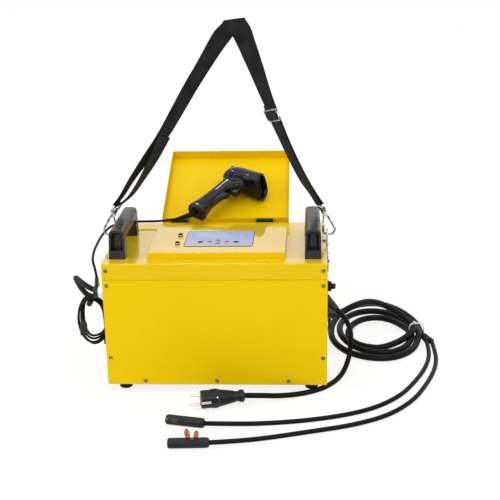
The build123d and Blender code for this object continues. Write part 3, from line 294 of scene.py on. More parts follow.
def zoned(name, look, other, way, low, high):
    # like finish, but between two planes across one direction it takes a second finish's tone and metal
    material = finish(name, look)
    tree = material.node_tree
    shader = tree.nodes["Principled BSDF"]
    along = vectorNode(tree, "DOT_PRODUCT", objectPlace(tree), way)["Value"]
    above = mathNode(tree, "GREATER_THAN", along, low)
    below = mathNode(tree, "LESS_THAN", along, high)
    inside = mathNode(tree, "MULTIPLY", above, below)
    before = shader.inputs["Base Color"].links[0].from_socket
    tree.links.new(mixColour(tree, inside, before, other["tone"]), shader.inputs["Base Color"])
    metals = (look.get("metal", 0.0), other.get("metal", 0.0))
    if metals[0] != metals[1]:
        tree.links.new(rangeNode(tree, inside, (0.0, 1.0), metals), shader.inputs["Metallic"])
    return material

made = {name: finish(name, look) for name, look in finishes.items()}
print("finishes made,", len(made))

# printed membrane, its keys and the window in it

membraneSet = {"tone": (0.47, 0.52, 0.72), "shade": (0.36, 0.40, 0.66), "patch": 14, "grain": 2600,
    "raise": 0.05, "rough": (0.22, 0.3), "sheetSpec": 0.2, "keySpec": 0.03, "inkEdge": 0.0004,
    "rimTone": (0.05, 0.05, 0.07), "rimWidth": 1.1, "middle": (3.5, -21.0), "half": (67.5, 50.0)}
windowSet = {"tone": (0.47, 0.53, 0.72), "shade": (0.38, 0.43, 0.66), "patch": 20, "grain": 900,
    "raise": 0.01, "rough": (0.16, 0.22), "spec": 0.25}
redInk = (0.22, 0.001, 0.004)
amberInk = (0.36, 0.16, 0.001)
greenInk = (0.003, 0.10, 0.02)
# middle of each key, its ink and how far the ink reaches
keyPrints = {
    "key_stop": ((-33.0, -44.0), redInk, 5.9),
    "key_left": ((-15.0, -44.0), amberInk, 4.3),
    "key_up": ((2.0, -35.0), amberInk, 4.3),
    "key_down": ((2.0, -53.0), amberInk, 4.3),
    "key_right": ((19.0, -44.0), amberInk, 4.3),
    "key_start": ((37.0, -44.0), greenInk, 5.9),
}

def printSpot(tree, before, place, spot, soft):
    # a round spot of ink with a soft edge, seen from above
    (x, y), ink, radius = spot
    middle = fromCase((x, y, 0.0))
    flat = vectorNode(tree, "MULTIPLY", place, (1, 1, 0))[0]
    away = vectorNode(tree, "DISTANCE", flat, (middle[0], middle[1], 0))["Value"]
    share = rangeNode(tree, away, (radius / 1000, radius / 1000 + soft), (1.0, 0.0))
    return mixColour(tree, share, before, ink)

def printRim(tree, before, place, look):
    # a dark line along the sheet's four edges
    middle = fromCase((*look["middle"], 0.0))
    axes = axesOf(tree, place)
    nearRim = []
    for axis in range(2):
        offset = mathNode(tree, "ABSOLUTE", mathNode(tree, "SUBTRACT", axes[axis], middle[axis]))
        inner = (look["half"][axis] - look["rimWidth"]) / 1000
        nearRim.append(mathNode(tree, "GREATER_THAN", offset, inner))
    return mixColour(tree, mathNode(tree, "MAXIMUM", *nearRim), before, look["rimTone"])

def membrane(name, look, spots, sheet=False):
    # satin film with a pale drift and round printed spots, and on the sheet the line along its rim
    material = finish(name, {**look, "spec": look["sheetSpec"] if sheet else look["keySpec"]})
    tree = material.node_tree
    shader = tree.nodes["Principled BSDF"]
    place = objectPlace(tree)
    colour = shader.inputs["Base Color"].links[0].from_socket
    for spot in spots:
        colour = printSpot(tree, colour, place, spot, look["inkEdge"])
    if sheet:
        colour = printRim(tree, colour, place, look)
    tree.links.new(colour, shader.inputs["Base Color"])
    return material

# which finish each carried-over node takes

nodeFinish = {
    "casePaint": ["front_panel", "back_panel", "left_side_panel", "right_side_panel"],
    "lidPaint": ["lid"],
    "topPaint": ["top_cover"],
    "deckPaint": ["console_plinth"],
    "trayPaint": ["base_tray"],
    "handlePlastic": ["carry_handles"],
    "fittingPlastic": ["cable_glands", "scanner_trigger", "display_module", "power_module"],
    "plugPlastic": ["weld_terminals", "mains_plug"],
    "softRubber": ["rubber_feet", "scanner_relief", "switch_bezels", "power_rocker", "selector_knob"],
    "chromeWire": ["snap_hooks", "right_gate", "left_gate", "strap_rings", "lid_knob", "strap_buckle"],
    "screwSteel": ["case_screws", "hinge_pins"],
    "eyeSteel": ["strap_eyes"],
    "hingeBlack": ["hinge_base_leaves", "hinge_lid_leaves"],
    "brassPin": ["plug_pins"],
    "darkGlass": ["scanner_window"],
    "boardGreen": ["control_board"],
    "coreSteel": ["transformer_core"],
    "windingCopper": ["transformer_winding"],
    "sinkAluminium": ["heat_sink"],
}
bluePlug = {"tone": (0.02, 0.16, 0.50)}
# nodes of two finishes: the material's name, both finishes, then the direction and the two planes across it
zones = {
    "console_sockets": ("socketShell", finishes["softRubber"], finishes["brassPin"],
        (0, 0, 1), 0.2826, 0.2846),
    "contact_clips": ("clipCopper", finishes["copperLeaf"], finishes["plugPlastic"],
        (0, -0.081, 1), 0.0, 0.0586),
    "scanner_plug": ("scannerPlug", finishes["fittingPlastic"], finishes["brightCollar"],
        (1, 0, 0), -0.2055, -0.19),
    "wall_sockets": ("wallSocket", finishes["fittingPlastic"], finishes["chromeWire"],
        (1, 0, 0), 0.238, 0.2404),
    "data_plugs": ("dataPlug", finishes["fittingPlastic"], bluePlug, (0, 1, 0), -0.19, -0.1),
}

def paint(node, material):
    if not nodes[node].material_slots:
        nodes[node].data.materials.append(material)
    for place in nodes[node].material_slots:
        place.material = material

for name, wearers in nodeFinish.items():
    for node in wearers:
        paint(node, made[name])
for node, zone in zones.items():
    paint(node, zoned(*zone))
for node, spot in keyPrints.items():
    paint(node, membrane(node + "Print", membraneSet, [spot]))
paint("keypad_overlay", membrane("membraneFilm", membraneSet, keyPrints.values(), True))
paint("display_window", finish("windowFilm", windowSet))
print("carried-over nodes painted")

# surfaces

def addPiece(name, mesh, material, body, standsFor=None):
    piece = placed(name, mesh)
    mesh.materials.append(material)
    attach(piece, body)
    if standsFor:
        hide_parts(standsFor)
    return piece

def gridMesh(name, rings, uv=None):
    # a grid of points, one closed ring per row, joined ring to ring; a fan round its middle closes each end
    rings = np.asarray(rings, float)
    rows, cols = rings.shape[:2]
    ends = np.stack([rings[0].mean(0), rings[-1].mean(0)])
    points = np.concatenate([rings.reshape(-1, 3), ends])
    r, c = np.meshgrid(np.arange(rows - 1), np.arange(cols), indexing="ij")
    a, b = r * cols + c, r * cols + (c + 1) % cols
    quads = np.stack([a, b, b + cols, a + cols], -1).reshape(-1, 4)
    ring = np.arange(cols)
    first = np.stack([(ring + 1) % cols, ring, np.full(cols, rows * cols)], -1)
    last = np.stack([ring, (ring + 1) % cols, np.full(cols, rows * cols + 1)], -1)
    last[:, :2] += (rows - 1) * cols
    mesh = bpy.data.meshes.new(name)
    mesh.from_pydata(points.tolist(), [], quads.tolist() + first.tolist() + last.tolist())
    mesh.shade_smooth()
    if uv is not None:
        uvEnds = [uv[0].mean(0)[None], uv[-1].mean(0)[None]]
        flat = np.concatenate([np.asarray(uv, float).reshape(-1, 2), *uvEnds])
        corner = np.zeros(len(mesh.loops), int)
        mesh.loops.foreach_get("vertex_index", corner)
        layer = mesh.uv_layers.new(name="weave")
        layer.data.foreach_set("uv", flat[corner].ravel().astype(np.float32))
    shell = bmesh.new()
    shell.from_mesh(mesh)
    bmesh.ops.recalc_face_normals(shell, faces=shell.faces)
    shell.to_mesh(mesh)
    shell.free()
    return mesh

def smoothRows(rows, count):
    # rows carried through smoothly: a cubic through each pair with slopes from their neighbours
    rows = np.asarray(rows, float)
    step = np.linspace(0, len(rows) - 1, count)
    i = np.minimum(step.astype(int), len(rows) - 2)
    t = (step - i)[:, None]
    slope = np.gradient(rows, axis=0)
    a, b, m, n = rows[i], rows[i + 1], slope[i], slope[i + 1]
    return ((2 * t ** 3 - 3 * t ** 2 + 1) * a + (t ** 3 - 2 * t ** 2 + t) * m
            + (3 * t ** 2 - 2 * t ** 3) * b + (t ** 3 - t ** 2) * n)

def drawnOut(value, power):
    # a sine or cosine drawn out towards a rectangle
    return np.sign(value) * np.abs(value) ** (2.0 / power)

def around(sides):
    return np.linspace(0, 2 * np.pi, sides, endpoint=False)

def unit(rows):
    return rows / np.linalg.norm(rows, axis=-1, keepdims=True)

def measure(line):
    # the length along a line at each of its points
    return np.r_[0, np.cumsum(np.linalg.norm(np.diff(line, axis=0), axis=1))]

def bell(value, middle, width):
    return np.exp(-((value - middle) / width) ** 2)

def easedIn(share):
    # from 0 to 1 with no slope at either end
    return share * share * (3 - 2 * share)

# cords: points and diameters in case millimetres, lengths in metres

mainsSet = {
    "diameter": 10.5, "length": 0.404, "farEnd": "plug", "lay": "loose", "stiffness": "medium",
    "points": [(234, -60, 147), (249, -57, 131), (260, -50, 108), (265, -42, 86), (265, -38, 56),
        (260, -47, 29.5), (248, -68, 10), (231, -97, 5.6), (206, -128, 5.6), (167, -151, 5.6),
        (124, -166, 8), (88, -177.5, 14.5), (55.8, -186.1, 18.6)]}
leadBase = {"diameter": 9.0, "farEnd": "connector", "lay": "loose", "stiffness": "medium"}
innerLeadSet = {**leadBase, "length": 0.689, "points": [
    (435.5, 102, 8.6), (436, 62, 5.5), (431, 20, 4.7), (416, -34, 4.7), (391, -92, 4.7), (357, -155, 4.7),
    (303, -209, 4.7), (238, -241, 4.7), (164, -262, 4.7), (92, -273, 4.7), (34, -279, 7.0),
    (-12, -283, 9.7)]}
outerLeadSet = {**leadBase, "length": 0.730, "points": [
    (446.5, 102, 8.6), (448, 60, 5.5), (446, 12, 4.7), (434, -44, 4.7), (412, -104, 4.7), (380, -174, 4.7),
    (328, -237, 4.7), (258, -277, 4.7), (180, -302, 4.7), (110, -325, 4.7), (52, -343, 7.0), (3, -354, 9.7)]}
coilSet = {
    "diameter": 14.0, "length": 1.888, "farEnd": "fitting", "lay": "coiled", "stiffness": "medium",
    "middle": (335.0, 130.0), "height": 8.6, "turns": 3, "perQuarter": 5,
    "lead": [(247, 92, 78), (254, 92.5, 80), (266, 98, 86), (286, 117, 88), (311, 146, 84),
        (338, 170, 70), (364, 184, 53), (391, 179, 35), (408, 161, 25), (412, 140, 22.8),
        (404, 118, 22.8), (389, 98, 17), (366, 84, 10.5)],
    # reach on each side, its growth by the turn, and the turn at which that reach is given
    "front": (66, 27, 0.0), "left": (63, 19, 0.0), "back": (96, 27, 0.5), "right": (68, 15, 0.75),
    # how far each turn rides up at the back and on the left, with the bell's middle and width in quarters
    "lift": [5.0, 10.0, 20.0], "liftBell": (1.85, 0.7), "leftLift": [0.0, 10.0, 0.0], "leftBell": (1.0, 0.6),
    # at the tie each turn is drawn over and up into the bundle: the bell along y, the least cosine on that
    # side, then x and z per turn
    "tieBell": (143.0, 21.0), "tieSide": 0.3, "drawn": [(8.0, 0.0), (7.0, 14.0), (-8.0, 0.0)]}
dataSet = {
    "diameter": 4.6, "length": 1.105, "farEnd": "connector", "lay": "hanging", "stiffness": "limp",
    "peg": (-252.0, 178.4), "firstY": -63.0, "pitch": 6.4, "perTurn": 16,
    # how far each turn reaches to the left and right of the peg, and half its height
    "left": [30.0, 17.5, 21.5, 26.0], "right": [31.0] * 4, "tall": [52.0, 42.0, 44.0, 46.5],
    "up": [(-231, -55, 104), (-231.5, -56, 124), (-234, -58, 152)],
    "down": [(-269, -93, 170), (-268, -95, 156), (-266, -96, 138)]}

def route(name, points, diameter=None):
    # one smooth line with the route's points as its control points
    curve = bpy.data.curves.new(name, "CURVE")
    curve.dimensions = "3D"
    spline = curve.splines.new("NURBS")
    spline.points.add(len(points) - 1)
    spline.points.foreach_set("co", np.c_[points, np.ones(len(points))].ravel().astype(np.float32))
    spline.order_u = 3
    spline.use_endpoint_u = True
    curve.resolution_u = 10
    if diameter:
        curve.bevel_depth = diameter / 2000.0
        curve.bevel_resolution = 5
        curve.use_fill_caps = True
    return curve

def addCord(name, look, points, standsFor):
    points = fromCase(points)
    curve = route(name, points, look["diameter"])
    cord = addPiece(name, curve, made["cordRubber"], "case", standsFor)

def coilPoints(look):
    # from the gland over to the coil, then turns about its middle that widen quarter by quarter; near the
    # tie a bell curve along y draws them together
    x, y = look["middle"]
    count = look["turns"] * 4 * look["perQuarter"] - look["perQuarter"] + 1
    quarter = np.arange(0, count) / look["perQuarter"]
    turn, way = quarter / 4, np.radians(-90 - 90 * quarter)
    sides = [look[side] for side in ("front", "left", "back", "right")]
    front, left, back, right = [reach + growth * (turn - since) for reach, growth, since in sides]
    cos, sin = np.cos(way), np.sin(way)
    points = np.stack([x + cos * np.where(cos < 0, left, right), y + sin * np.where(sin < 0, front, back),
                       np.full(len(quarter), look["height"])], -1)
    share = bell(points[:, 1], *look["tieBell"]) * (cos > look["tieSide"])
    which = np.minimum(turn, look["turns"] - 1).astype(int)
    drawn = np.array(look["drawn"])[which]
    points[:, 2] += np.array(look["lift"])[which] * bell(quarter % 4, *look["liftBell"])
    points[:, 2] += np.array(look["leftLift"])[which] * bell(quarter % 4, *look["leftBell"])
    points[:, 0] += share * drawn[:, 0]
    points[:, 2] += share * drawn[:, 1]
    return np.concatenate([look["lead"], points])

def dataPoints(look):
    # up from the plug, loops that hang from the peg and step forward, each an oval of its own size, and
    # down into the hood; the control points stand outside the ovals by the secant of half their step
    x, top = look["peg"]
    turns, perTurn = len(look["left"]), look["perTurn"]
    step = np.arange(turns * perTurn + 1) / perTurn
    angle = np.pi / 2 + 2 * np.pi * step
    left, tall, right = [np.interp(step, np.arange(turns) + part, look[name])
                         for part, name in ((0.25, "left"), (0.5, "tall"), (0.75, "right"))]
    outside = 1 / np.cos(np.pi / perTurn)
    loops = np.stack([x + np.where(np.cos(angle) < 0, left, right) * outside * np.cos(angle),
                      look["firstY"] - look["pitch"] * step,
                      top - tall + tall * outside * np.sin(angle)], -1)
    return np.concatenate([look["up"], loops, look["down"]])

# half width and half height at both ends, how much each end draws in, and over what share of the length
bootSet = {"from": (432.6, 131.0, 8.6), "to": (441.0, 100.0, 8.6), "start": (7.7, 7.7), "end": (11.2, 6.4),
    "drawIn": (0.16, 0.22), "drawInShare": 0.03, "squareness": 2.3, "rows": 40, "sides": 32}

def addBoot(look):
    # an oval sleeve that flattens from the round cable to the pair of leads, eased in at both ends
    t = np.linspace(0, 1, look["rows"])[:, None]
    ease = easedIn(t)
    first, last = np.array(look["from"]), np.array(look["to"])
    centre = first + np.c_[ease, t, t] * (last - first)
    wide, tall = [a + (b - a) * ease for a, b in zip(look["start"], look["end"])]
    (start, end), reach = look["drawIn"], look["drawInShare"]
    shrink = 1 - start * np.exp(-t / reach) - end * np.exp(-(1 - t) / reach)
    angle = around(look["sides"])[None, :]
    x = centre[:, :1] + wide * shrink * drawnOut(np.cos(angle), look["squareness"])
    z = centre[:, 2:] + tall * shrink * drawnOut(np.sin(angle), look["squareness"])
    rings = np.stack([x, np.broadcast_to(centre[:, 1:2], x.shape), z], -1)
    mesh = gridMesh("weldBoot", fromCase(rings))
    return addPiece("weldBoot", mesh, made["cordRubber"], "case", "weld_split")

# the head: its place round the loop in degrees, what it adds to thickness and width, and its reach
tieSet = {"middle": (418.0, 143.0, 17.1), "half": 15.4, "wide": 6.2, "thick": 1.5, "head": (100.0, 3.4, 2.4),
    "headReach": (1.6, 0.018), "loopSquareness": 3.0, "stripSquareness": 5, "rows": 97, "sides": 16}

def addTie(look):
    # a flat strip led once round the bundle on a rounded square, thicker where its two ends meet in the head
    x, y, z = look["middle"]
    start, headThick, headWide = look["head"]
    t = np.linspace(0, 1, look["rows"])
    angle = math.radians(start) + 2 * np.pi * t
    cos, sin = [drawnOut(wave(angle), look["loopSquareness"])[:, None] for wave in (np.cos, np.sin)]
    reach, fade = look["headReach"]
    near = np.clip(reach - np.minimum(t, 1 - t) / fade, 0, 1)
    thick, wide = look["thick"] + headThick * near, look["wide"] + headWide * near
    turn = around(look["sides"])[None, :]
    out = thick[:, None] * (0.5 + 0.5 * drawnOut(np.cos(turn), look["stripSquareness"]))
    along = wide[:, None] / 2 * drawnOut(np.sin(turn), look["stripSquareness"])
    rings = np.stack([x + (look["half"] + out) * cos, y + along, z + (look["half"] + out) * sin], -1)
    mesh = gridMesh("cableTie", fromCase(rings))
    return addPiece("cableTie", mesh, made["tieNylon"], "case", "cable_tie")

# rise: the angles between which the dome is drawn, from below its rim to just short of its top
plugScrewSet = {"middle": (6.9, -213.9, 27.8), "axis": (0.20, -0.86, 0.48), "radius": 1.9, "height": 1.1,
    "rise": (-0.4, math.pi / 2 - 0.05), "rows": 10, "sides": 24}

def addPlugScrew(look):
    # a flat dome: rings that shrink as the cosine of their height
    axis = unit(np.array(look["axis"]))
    side = unit(np.cross(axis, (0, 0, 1.0)))
    other = np.cross(axis, side)
    rise = np.linspace(*look["rise"], look["rows"])[:, None, None]
    turn = around(look["sides"])[None, :, None]
    rings = (np.array(look["middle"]) + look["height"] * np.sin(rise) * axis
             + look["radius"] * np.cos(rise) * (np.cos(turn) * side + np.sin(turn) * other))
    mesh = gridMesh("plugScrew", fromCase(rings))
    return addPiece("plugScrew", mesh, made["brightCollar"], "case")

weldBoot = addBoot(bootSet)
cableTie = addTie(tieSet)
plugScrew = addPlugScrew(plugScrewSet)
addCord("mainsCord", mainsSet, mainsSet["points"], "mains_cord")
addCord("weldCable", coilSet, coilPoints(coilSet), "weld_coil")
addCord("innerLead", innerLeadSet, innerLeadSet["points"], "weld_leads")
addCord("outerLead", outerLeadSet, outerLeadSet["points"], None)
addCord("dataCable", dataSet, dataPoints(dataSet), "data_cable")

def roundTube(name, line, radius, sides):
    # a circle carried along the line on two directions across it, of one radius or one for each point
    radius = np.broadcast_to(radius, len(line))[:, None, None]
    along = unit(np.gradient(line, axis=0))
    across = unit(np.cross(along, (0, 0, 1.0)))
    up = np.cross(across, along)
    angle = around(sides)[None, :, None]
    circle = np.cos(angle) * across[:, None] + np.sin(angle) * up[:, None]
    return gridMesh(name, line[:, None] + radius * circle)

def routePath(name, points):
    # points read from the route's own spline
    line = bpy.data.objects.new(name, route(name, points))
    mesh = bpy.data.meshes.new_from_object(line)
    path = np.zeros(len(mesh.vertices) * 3)
    mesh.vertices.foreach_get("co", path)
    bpy.data.objects.remove(line)
    return path.reshape(-1, 3)

# onCase and onScanner are the points where the cord meets the case and the scanner
scannerCordSet = {
    "diameter": 5.0, "length": 0.350, "sides": 14, "onCase": 4, "onScanner": 1,
    "points": [(-101.4, 115.2, 281.6), (-128, 112, 279), (-158, 116, 277), (-190, 112, 278),
        (-216, 100, 280), (-234, 74, 279), (-243, 36, 274), (-246, -8, 268),
        (-246, -50, 263), (-242, -83, 256), (-234, -101, 246), (-231, -105, 230)]}

def addScannerCord(look):
    points = fromCase(look["points"])
    path = routePath("scannerRoute", points)
    tube = roundTube("scannerCord", path, look["diameter"] / 2000, look["sides"])
    tube.materials.append(made["cordRubber"])
    cord = placed("scannerCord", tube)
    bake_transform(cord)
    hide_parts("scanner_cord")

addScannerCord(scannerCordSet)
print("cords laid")

# the bent arm on the left that the data cable hangs on

armSet = {
    "radius": 5.5, "footRadius": 14.0, "footHeight": 4.0, "footSteepness": 4, "easing": 2.2, "sides": 32,
    # lengths of the finely ringed stretches at the foot and the tip, and the rings from foot to tip
    "footStretch": 10, "tipStretch": 4, "rings": (40, 150, 24),
    "points": [(-215, -52, 174), (-225, -52, 174), (-243, -56, 183.5), (-260, -57.5, 192),
        (-273, -57.5, 202.5), (-286.5, -52, 212.5), (-283, -45.5, 198), (-276, -45.5, 184),
        (-266, -45.5, 171), (-253.5, -46, 168), (-252, -62, 170), (-252, -95, 170)]}

def addArm(look):
    # a round bar along one smooth line; its radius falls from the foot's to its own in a steep S, and at the
    # free end it closes on a quarter of a circle
    path = routePath("armRoute", fromCase(look["points"]))
    along = measure(path) * 1000
    stops = (0, look["footStretch"], along[-1] - look["tipStretch"], along[-1])
    stretches = [np.linspace(*ends) for ends in zip(stops, stops[1:], look["rings"])]
    even = np.concatenate([stretches[0], stretches[1][1:], stretches[2][1:]])
    line = np.stack([np.interp(even, along, path[:, axis]) for axis in range(3)], -1)
    fall = 1 + np.exp((even - look["footHeight"]) * look["footSteepness"])
    radius = look["radius"] + (look["footRadius"] - look["radius"]) / fall
    close = np.clip(1 - (along[-1] - even) / look["easing"], 0, 1)
    radius = radius - look["easing"] * (1 - np.sqrt(1 - close ** 2))
    mesh = roundTube("cableArm", line, radius / 1000, look["sides"])
    addPiece("cableArm", mesh, made["armPlastic"], "case", "cable_arm")

addArm(armSet)
print("arm bent")

# shoulder strap

webbingSet = {"tone": (0.026, 0.026, 0.029), "shade": (0.012, 0.012, 0.014), "patch": 35, "grain": 2500,
    "raise": 0.1, "rough": (0.7, 0.85), "spec": 0.06, "sheen": 0.04, "sheenRough": 0.5,
    # pitch of the ribs and columns in millimetres, then how deep the weave is, and the painted shading that
    # darkens its hollows and lightens its ribs
    "rib": 1.5, "column": 2.4, "weaveRaise": 0.6, "weaveDepth": 0.0004, "weavePaintedShading": (0.6, 1.25)}
strapSet = {
    "width": 38.0, "thick": 2.2, "length": 1243.0, "edgeSquareness": (8, 3), "sides": 24,
    # the two ends of the fold's line, and how far below it the rows swing into that line
    "fold": ((19.5, 705.0), (61.0, 710.0)), "foldReach": 50.0,
    # radius of the turn round a ring's bar and of the turn in the fold, and their rows
    "bar": 3.4, "turn": 1.2, "turnRows": 11,
    "rows": {"inner": 40, "left": 110, "right": 110, "tail": 90},
    # from foot to fold: x, z, twist and the shift to the back
    "left": [(-201.2, 347.4, 78, 3.4), (-189, 366, 78, 1.6), (-168, 399, 74, 1.2), (-138, 440, 66, 1.2),
        (-103, 486, 56, 1.2), (-74.5, 532, 51, 1.2), (-46.5, 578.5, 47, 1.2), (-17.1, 624, 43, 1.2),
        (11.8, 668.5, 30, 1.2), (40.2, 705.0, 0, 1.2)],
    "inner": [(-201.2, 347.4, 78, -3.4), (-175, 366, 78, -1.2), (-151, 399, 74, -1.2),
        (-125, 441, 64, -1.2), (-102, 484, 56, -1.2)],
    "right": [(201.2, 347.4, 72, 3.4), (191.6, 366.5, 68, -0.6), (173.8, 395, 63, -1.2),
        (154.4, 433, 62, -1.2), (137, 471.5, 61, -1.2), (121.8, 507, 57, -1.2), (100.3, 560, 50, -1.2),
        (81.9, 611, 37, -1.2), (64.6, 657, 22, -1.2), (53.5, 684, 10, -1.2), (40.2, 705.0, 0, -1.2)],
    "tail": [(201.2, 347.4, 72, -3.4), (191.6, 366.5, 68, -3.6), (173.8, 395, 63, -3.7),
        (154.4, 433, 62, -3.7), (137, 471.5, 61, -3.7), (124.5, 500.5, 58, -3.6), (118.5, 515, 57, -4.2),
        (113.5, 526, 55, -7.9), (109, 537, 53.5, -4.2), (106, 545, 52.5, -3.4)]}

def webbing(look):
    # ribs across the band and columns along it, as two sines of the band's own measure, over a broad drift,
    # with painted shade in the weave's hollows and a painted highlight on its ribs
    material = finish("strapWebbing", look)
    tree = material.node_tree
    shader = tree.nodes["Principled BSDF"]
    axes = axesOf(tree, addNode(tree, "UVMap", uv_map="weave").outputs[0])
    columns = ripple(tree, axes[0], look["column"])
    ribs = ripple(tree, axes[1], look["rib"])
    height = mathNode(tree, "ADD", mathNode(tree, "MULTIPLY", columns, ribs), ribs)
    bump = addNode(tree, "Bump", [("Strength", look["weaveRaise"]), ("Distance", look["weaveDepth"]),
                                  ("Height", height)])
    tree.links.new(bump.outputs["Normal"], shader.inputs["Normal"])
    # painted shade and highlight: the colour darkens in the weave's hollows and lightens on its ribs,
    # following the weave's height
    before = shader.inputs["Base Color"].links[0].from_socket
    deep = rangeNode(tree, height, (-2.0, 2.0), look["weavePaintedShading"])
    tree.links.new(vectorNode(tree, "MULTIPLY", before, deep)[0], shader.inputs["Base Color"])
    shader.inputs["Sheen Weight"].default_value = look["sheen"]
    shader.inputs["Sheen Roughness"].default_value = look["sheenRough"]
    return material

def ribbon(name, centre, row, look):
    # a flat oval carried along the centre line, as wide as each row, with its own measure as the weave's map
    angle = around(look["sides"])
    wideSquareness, thickSquareness = look["edgeSquareness"]
    a = drawnOut(np.cos(angle), wideSquareness) / 2
    b = drawnOut(np.sin(angle), thickSquareness) * look["thick"] / 2
    through = unit(np.cross(np.gradient(centre, axis=0), row))
    rings = centre[:, None] + row[:, None] * a[None, :, None] + through[:, None] * b[None, :, None]
    across = a[None, :] * np.linalg.norm(row, axis=1)[:, None]
    uv = np.stack(np.broadcast_arrays(across, measure(centre)[:, None]), -1) / 1000
    return gridMesh(name, fromCase(rings), uv)

def legRows(part, side, look, folded=False):
    # rows of one leg, turned about their own line by the twist; near the top they swing into the fold's line
    x, z, twist, shift = smoothRows(look[part], look["rows"][part]).T
    way = unit(np.gradient(np.stack([x, 0 * x, z], -1), axis=0))
    cos, sin = np.cos(np.radians(twist)), np.sin(np.radians(twist))
    across = np.stack([way[:, 2] * cos, -side * sin, -way[:, 0] * cos], -1)
    back = np.cross(way, across)
    row = across * look["width"]
    if folded:
        (x0, z0), (x1, z1) = look["fold"]
        share = np.clip(1 - np.hypot(x - x[-1], z - z[-1]) / look["foldReach"], 0, 1)
        share = easedIn(share)[:, None]
        row = row * (1 - share) + share * np.array((x1 - x0, 0.0, z1 - z0))
    return np.stack([x, 0 * x, z], -1) + back * shift[:, None], row, way[0], back[0]

def ringTurn(leg, front, half, look):
    # half a circle round the ring's bar, from one layer at the leg's foot to the other
    line, row, way, back = leg
    bar = line[0] - back * look["bar"]
    return bar + look["bar"] * (front * np.cos(half) * back - np.sin(half) * way), row[:1]

def addStrap(look):
    # one band: down the doubled layer, round the left ring, up, over the fold, down, round the right ring
    # and up again through the slide
    half = np.linspace(0, np.pi, look["turnRows"])[1:-1, None]
    inner, left = legRows("inner", -1, look), legRows("left", -1, look, True)
    right, tail = legRows("right", 1, look, True), legRows("tail", 1, look)
    top = np.array((look["left"][-1][0], 0.0, look["left"][-1][1]))
    arc = np.cos(half) * np.array((0, 1.0, 0)) + np.sin(half) * np.array((0, 0, 1.0))
    fold = top + look["turn"] * arc
    parts = [(inner[0][::-1], inner[1][::-1]), ringTurn(left, -1, half, look), left[:2],
        (fold, left[1][-1:]), (right[0][::-1], right[1][::-1]), ringTurn(right, 1, half, look), tail[:2]]
    centre = np.concatenate([line for line, row in parts])
    row = np.concatenate([np.broadcast_to(row, line.shape) for line, row in parts])
    mesh = ribbon("strapWebbing", centre, row, look)
    piece = addPiece("strapWebbing", mesh, webbing(webbingSet), "strap", "shoulder_strap")
    print("strap length", round(measure(centre)[-1]), "mm")

addStrap(strapSet)
print("strap hung")

# scanner shell

scannerSet = {
    "origin": (0.0, 124.94, 287.31), "lean": 20.4, "voxel": 0.001, "sides": 64,
    "headRows": 70, "hoodRows": 61, "gripRows": 70, "restRows": 40, "outlineRows": 40, "heightRows": 21,
    # where the head's back is and which way it points, in the scanner's plane
    "headBack": (-8.0, 136.0), "headWay": (0.9397, -0.342),
    # how far the head stands off that plane, up to which place along it and over what length that fades
    "headLift": 3.0, "liftUntil": 75, "liftFade": 35,
    # slope of the nose, which is cut aslant, from which place on and over what length it comes in
    "slant": 0.24, "slantFrom": 55, "slantFade": 30,
    # rounds of easing, the share of each, up to which place, over what length it fades and what is left
    "easing": 36, "easeShare": 0.5, "easeUntil": 76, "easeFade": 14, "easeLeast": 0.1,
    # along the head from its back: place, top, bottom, half width, roundness above and below its widest
    # line, and that line
    "head": [(-0.5, 3.0, 1.0, 3.0, 0.96, 0.96, 2.0), (0.5, 7.5, -3.5, 9.0, 0.96, 0.96, 1.0),
        (2.5, 14.5, -8.5, 14.0, 0.96, 0.94, 0.0), (7.0, 23.5, -13.0, 20.0, 0.96, 0.92, -1.0),
        (15.0, 31.0, -16.5, 25.5, 0.95, 0.9, -2.5), (28.0, 36.0, -16.5, 27.0, 0.92, 0.9, -4.0),
        (48.0, 35.5, -14.5, 26.2, 0.88, 0.9, -5.0), (70.0, 30.5, -19.0, 28.4, 0.8, 0.66, -6.0)],
    # the same on round the hood's edge and back inside it
    "hood": [(92.4, 24.0, -21.8, 29.0, 0.7, 0.6, -3.0), (93.8, 22.8, -20.8, 28.0, 0.7, 0.6, -3.0),
        (93.8, 20.4, -19.0, 26.2, 0.7, 0.62, -3.0), (92.6, 19.4, -18.4, 25.3, 0.7, 0.62, -3.0),
        (80.2, 17.6, -17.0, 24.0, 0.7, 0.62, -2.0), (79.8, 1.0, -2.0, 2.0, 0.8, 0.8, -0.5)],
    # along the grip from its butt: u, v, half across, half thick, roundness
    "grip": [(-60.4, 8.0, 18.0, 14.0, 0.66), (-59.8, 9.0, 20.6, 16.4, 0.66), (-57.4, 12.4, 22.8, 18.4, 0.68),
        (-49.5, 26.0, 18.6, 18.0, 0.72), (-38.0, 46.0, 15.4, 16.4, 0.74), (-22.0, 70.0, 15.6, 15.6, 0.76),
        (-6.0, 94.0, 15.8, 16.4, 0.8), (6.0, 112.0, 17.2, 17.4, 0.86), (15.0, 130.0, 17.0, 19.0, 0.9)],
    # a ridge along the front of the grip that ends in the finger rest: u, v, w, radius, and its way across
    "rest": [(-46, 17, 6, 3.0), (-42, 23, 6, 5.0), (-30, 37, 5, 6.0), (-15, 53, 4, 6.5), (-2, 65, 3, 7.5),
        (4, 69, 3, 7.5), (8, 71, 3, 4.0), (9, 71.5, 3, 1.0)],
    "restAcross": (0.72, -0.69),
    # outlines in the scanner's plane, their two heights over it and how much they draw in towards these
    "web": ([(-10, 116), (-3, 98), (6, 89.5), (18, 87.5), (30, 91), (42, 101), (54, 112)], -17.0, 17.0, 0.3),
    "slot": ([(4, 76), (20, 64), (42, 92), (25, 101)], -7.0, 7.0, 0.0)}
cornerGap = 0.293  # how far a true ellipse's diagonal stops short of its box's corner, in half sizes

def ovalPower(roundness):
    # the power of an oval that leaves this share of a true ellipse's gap at its corners
    return math.log(0.5) / np.log(1 - cornerGap * roundness)

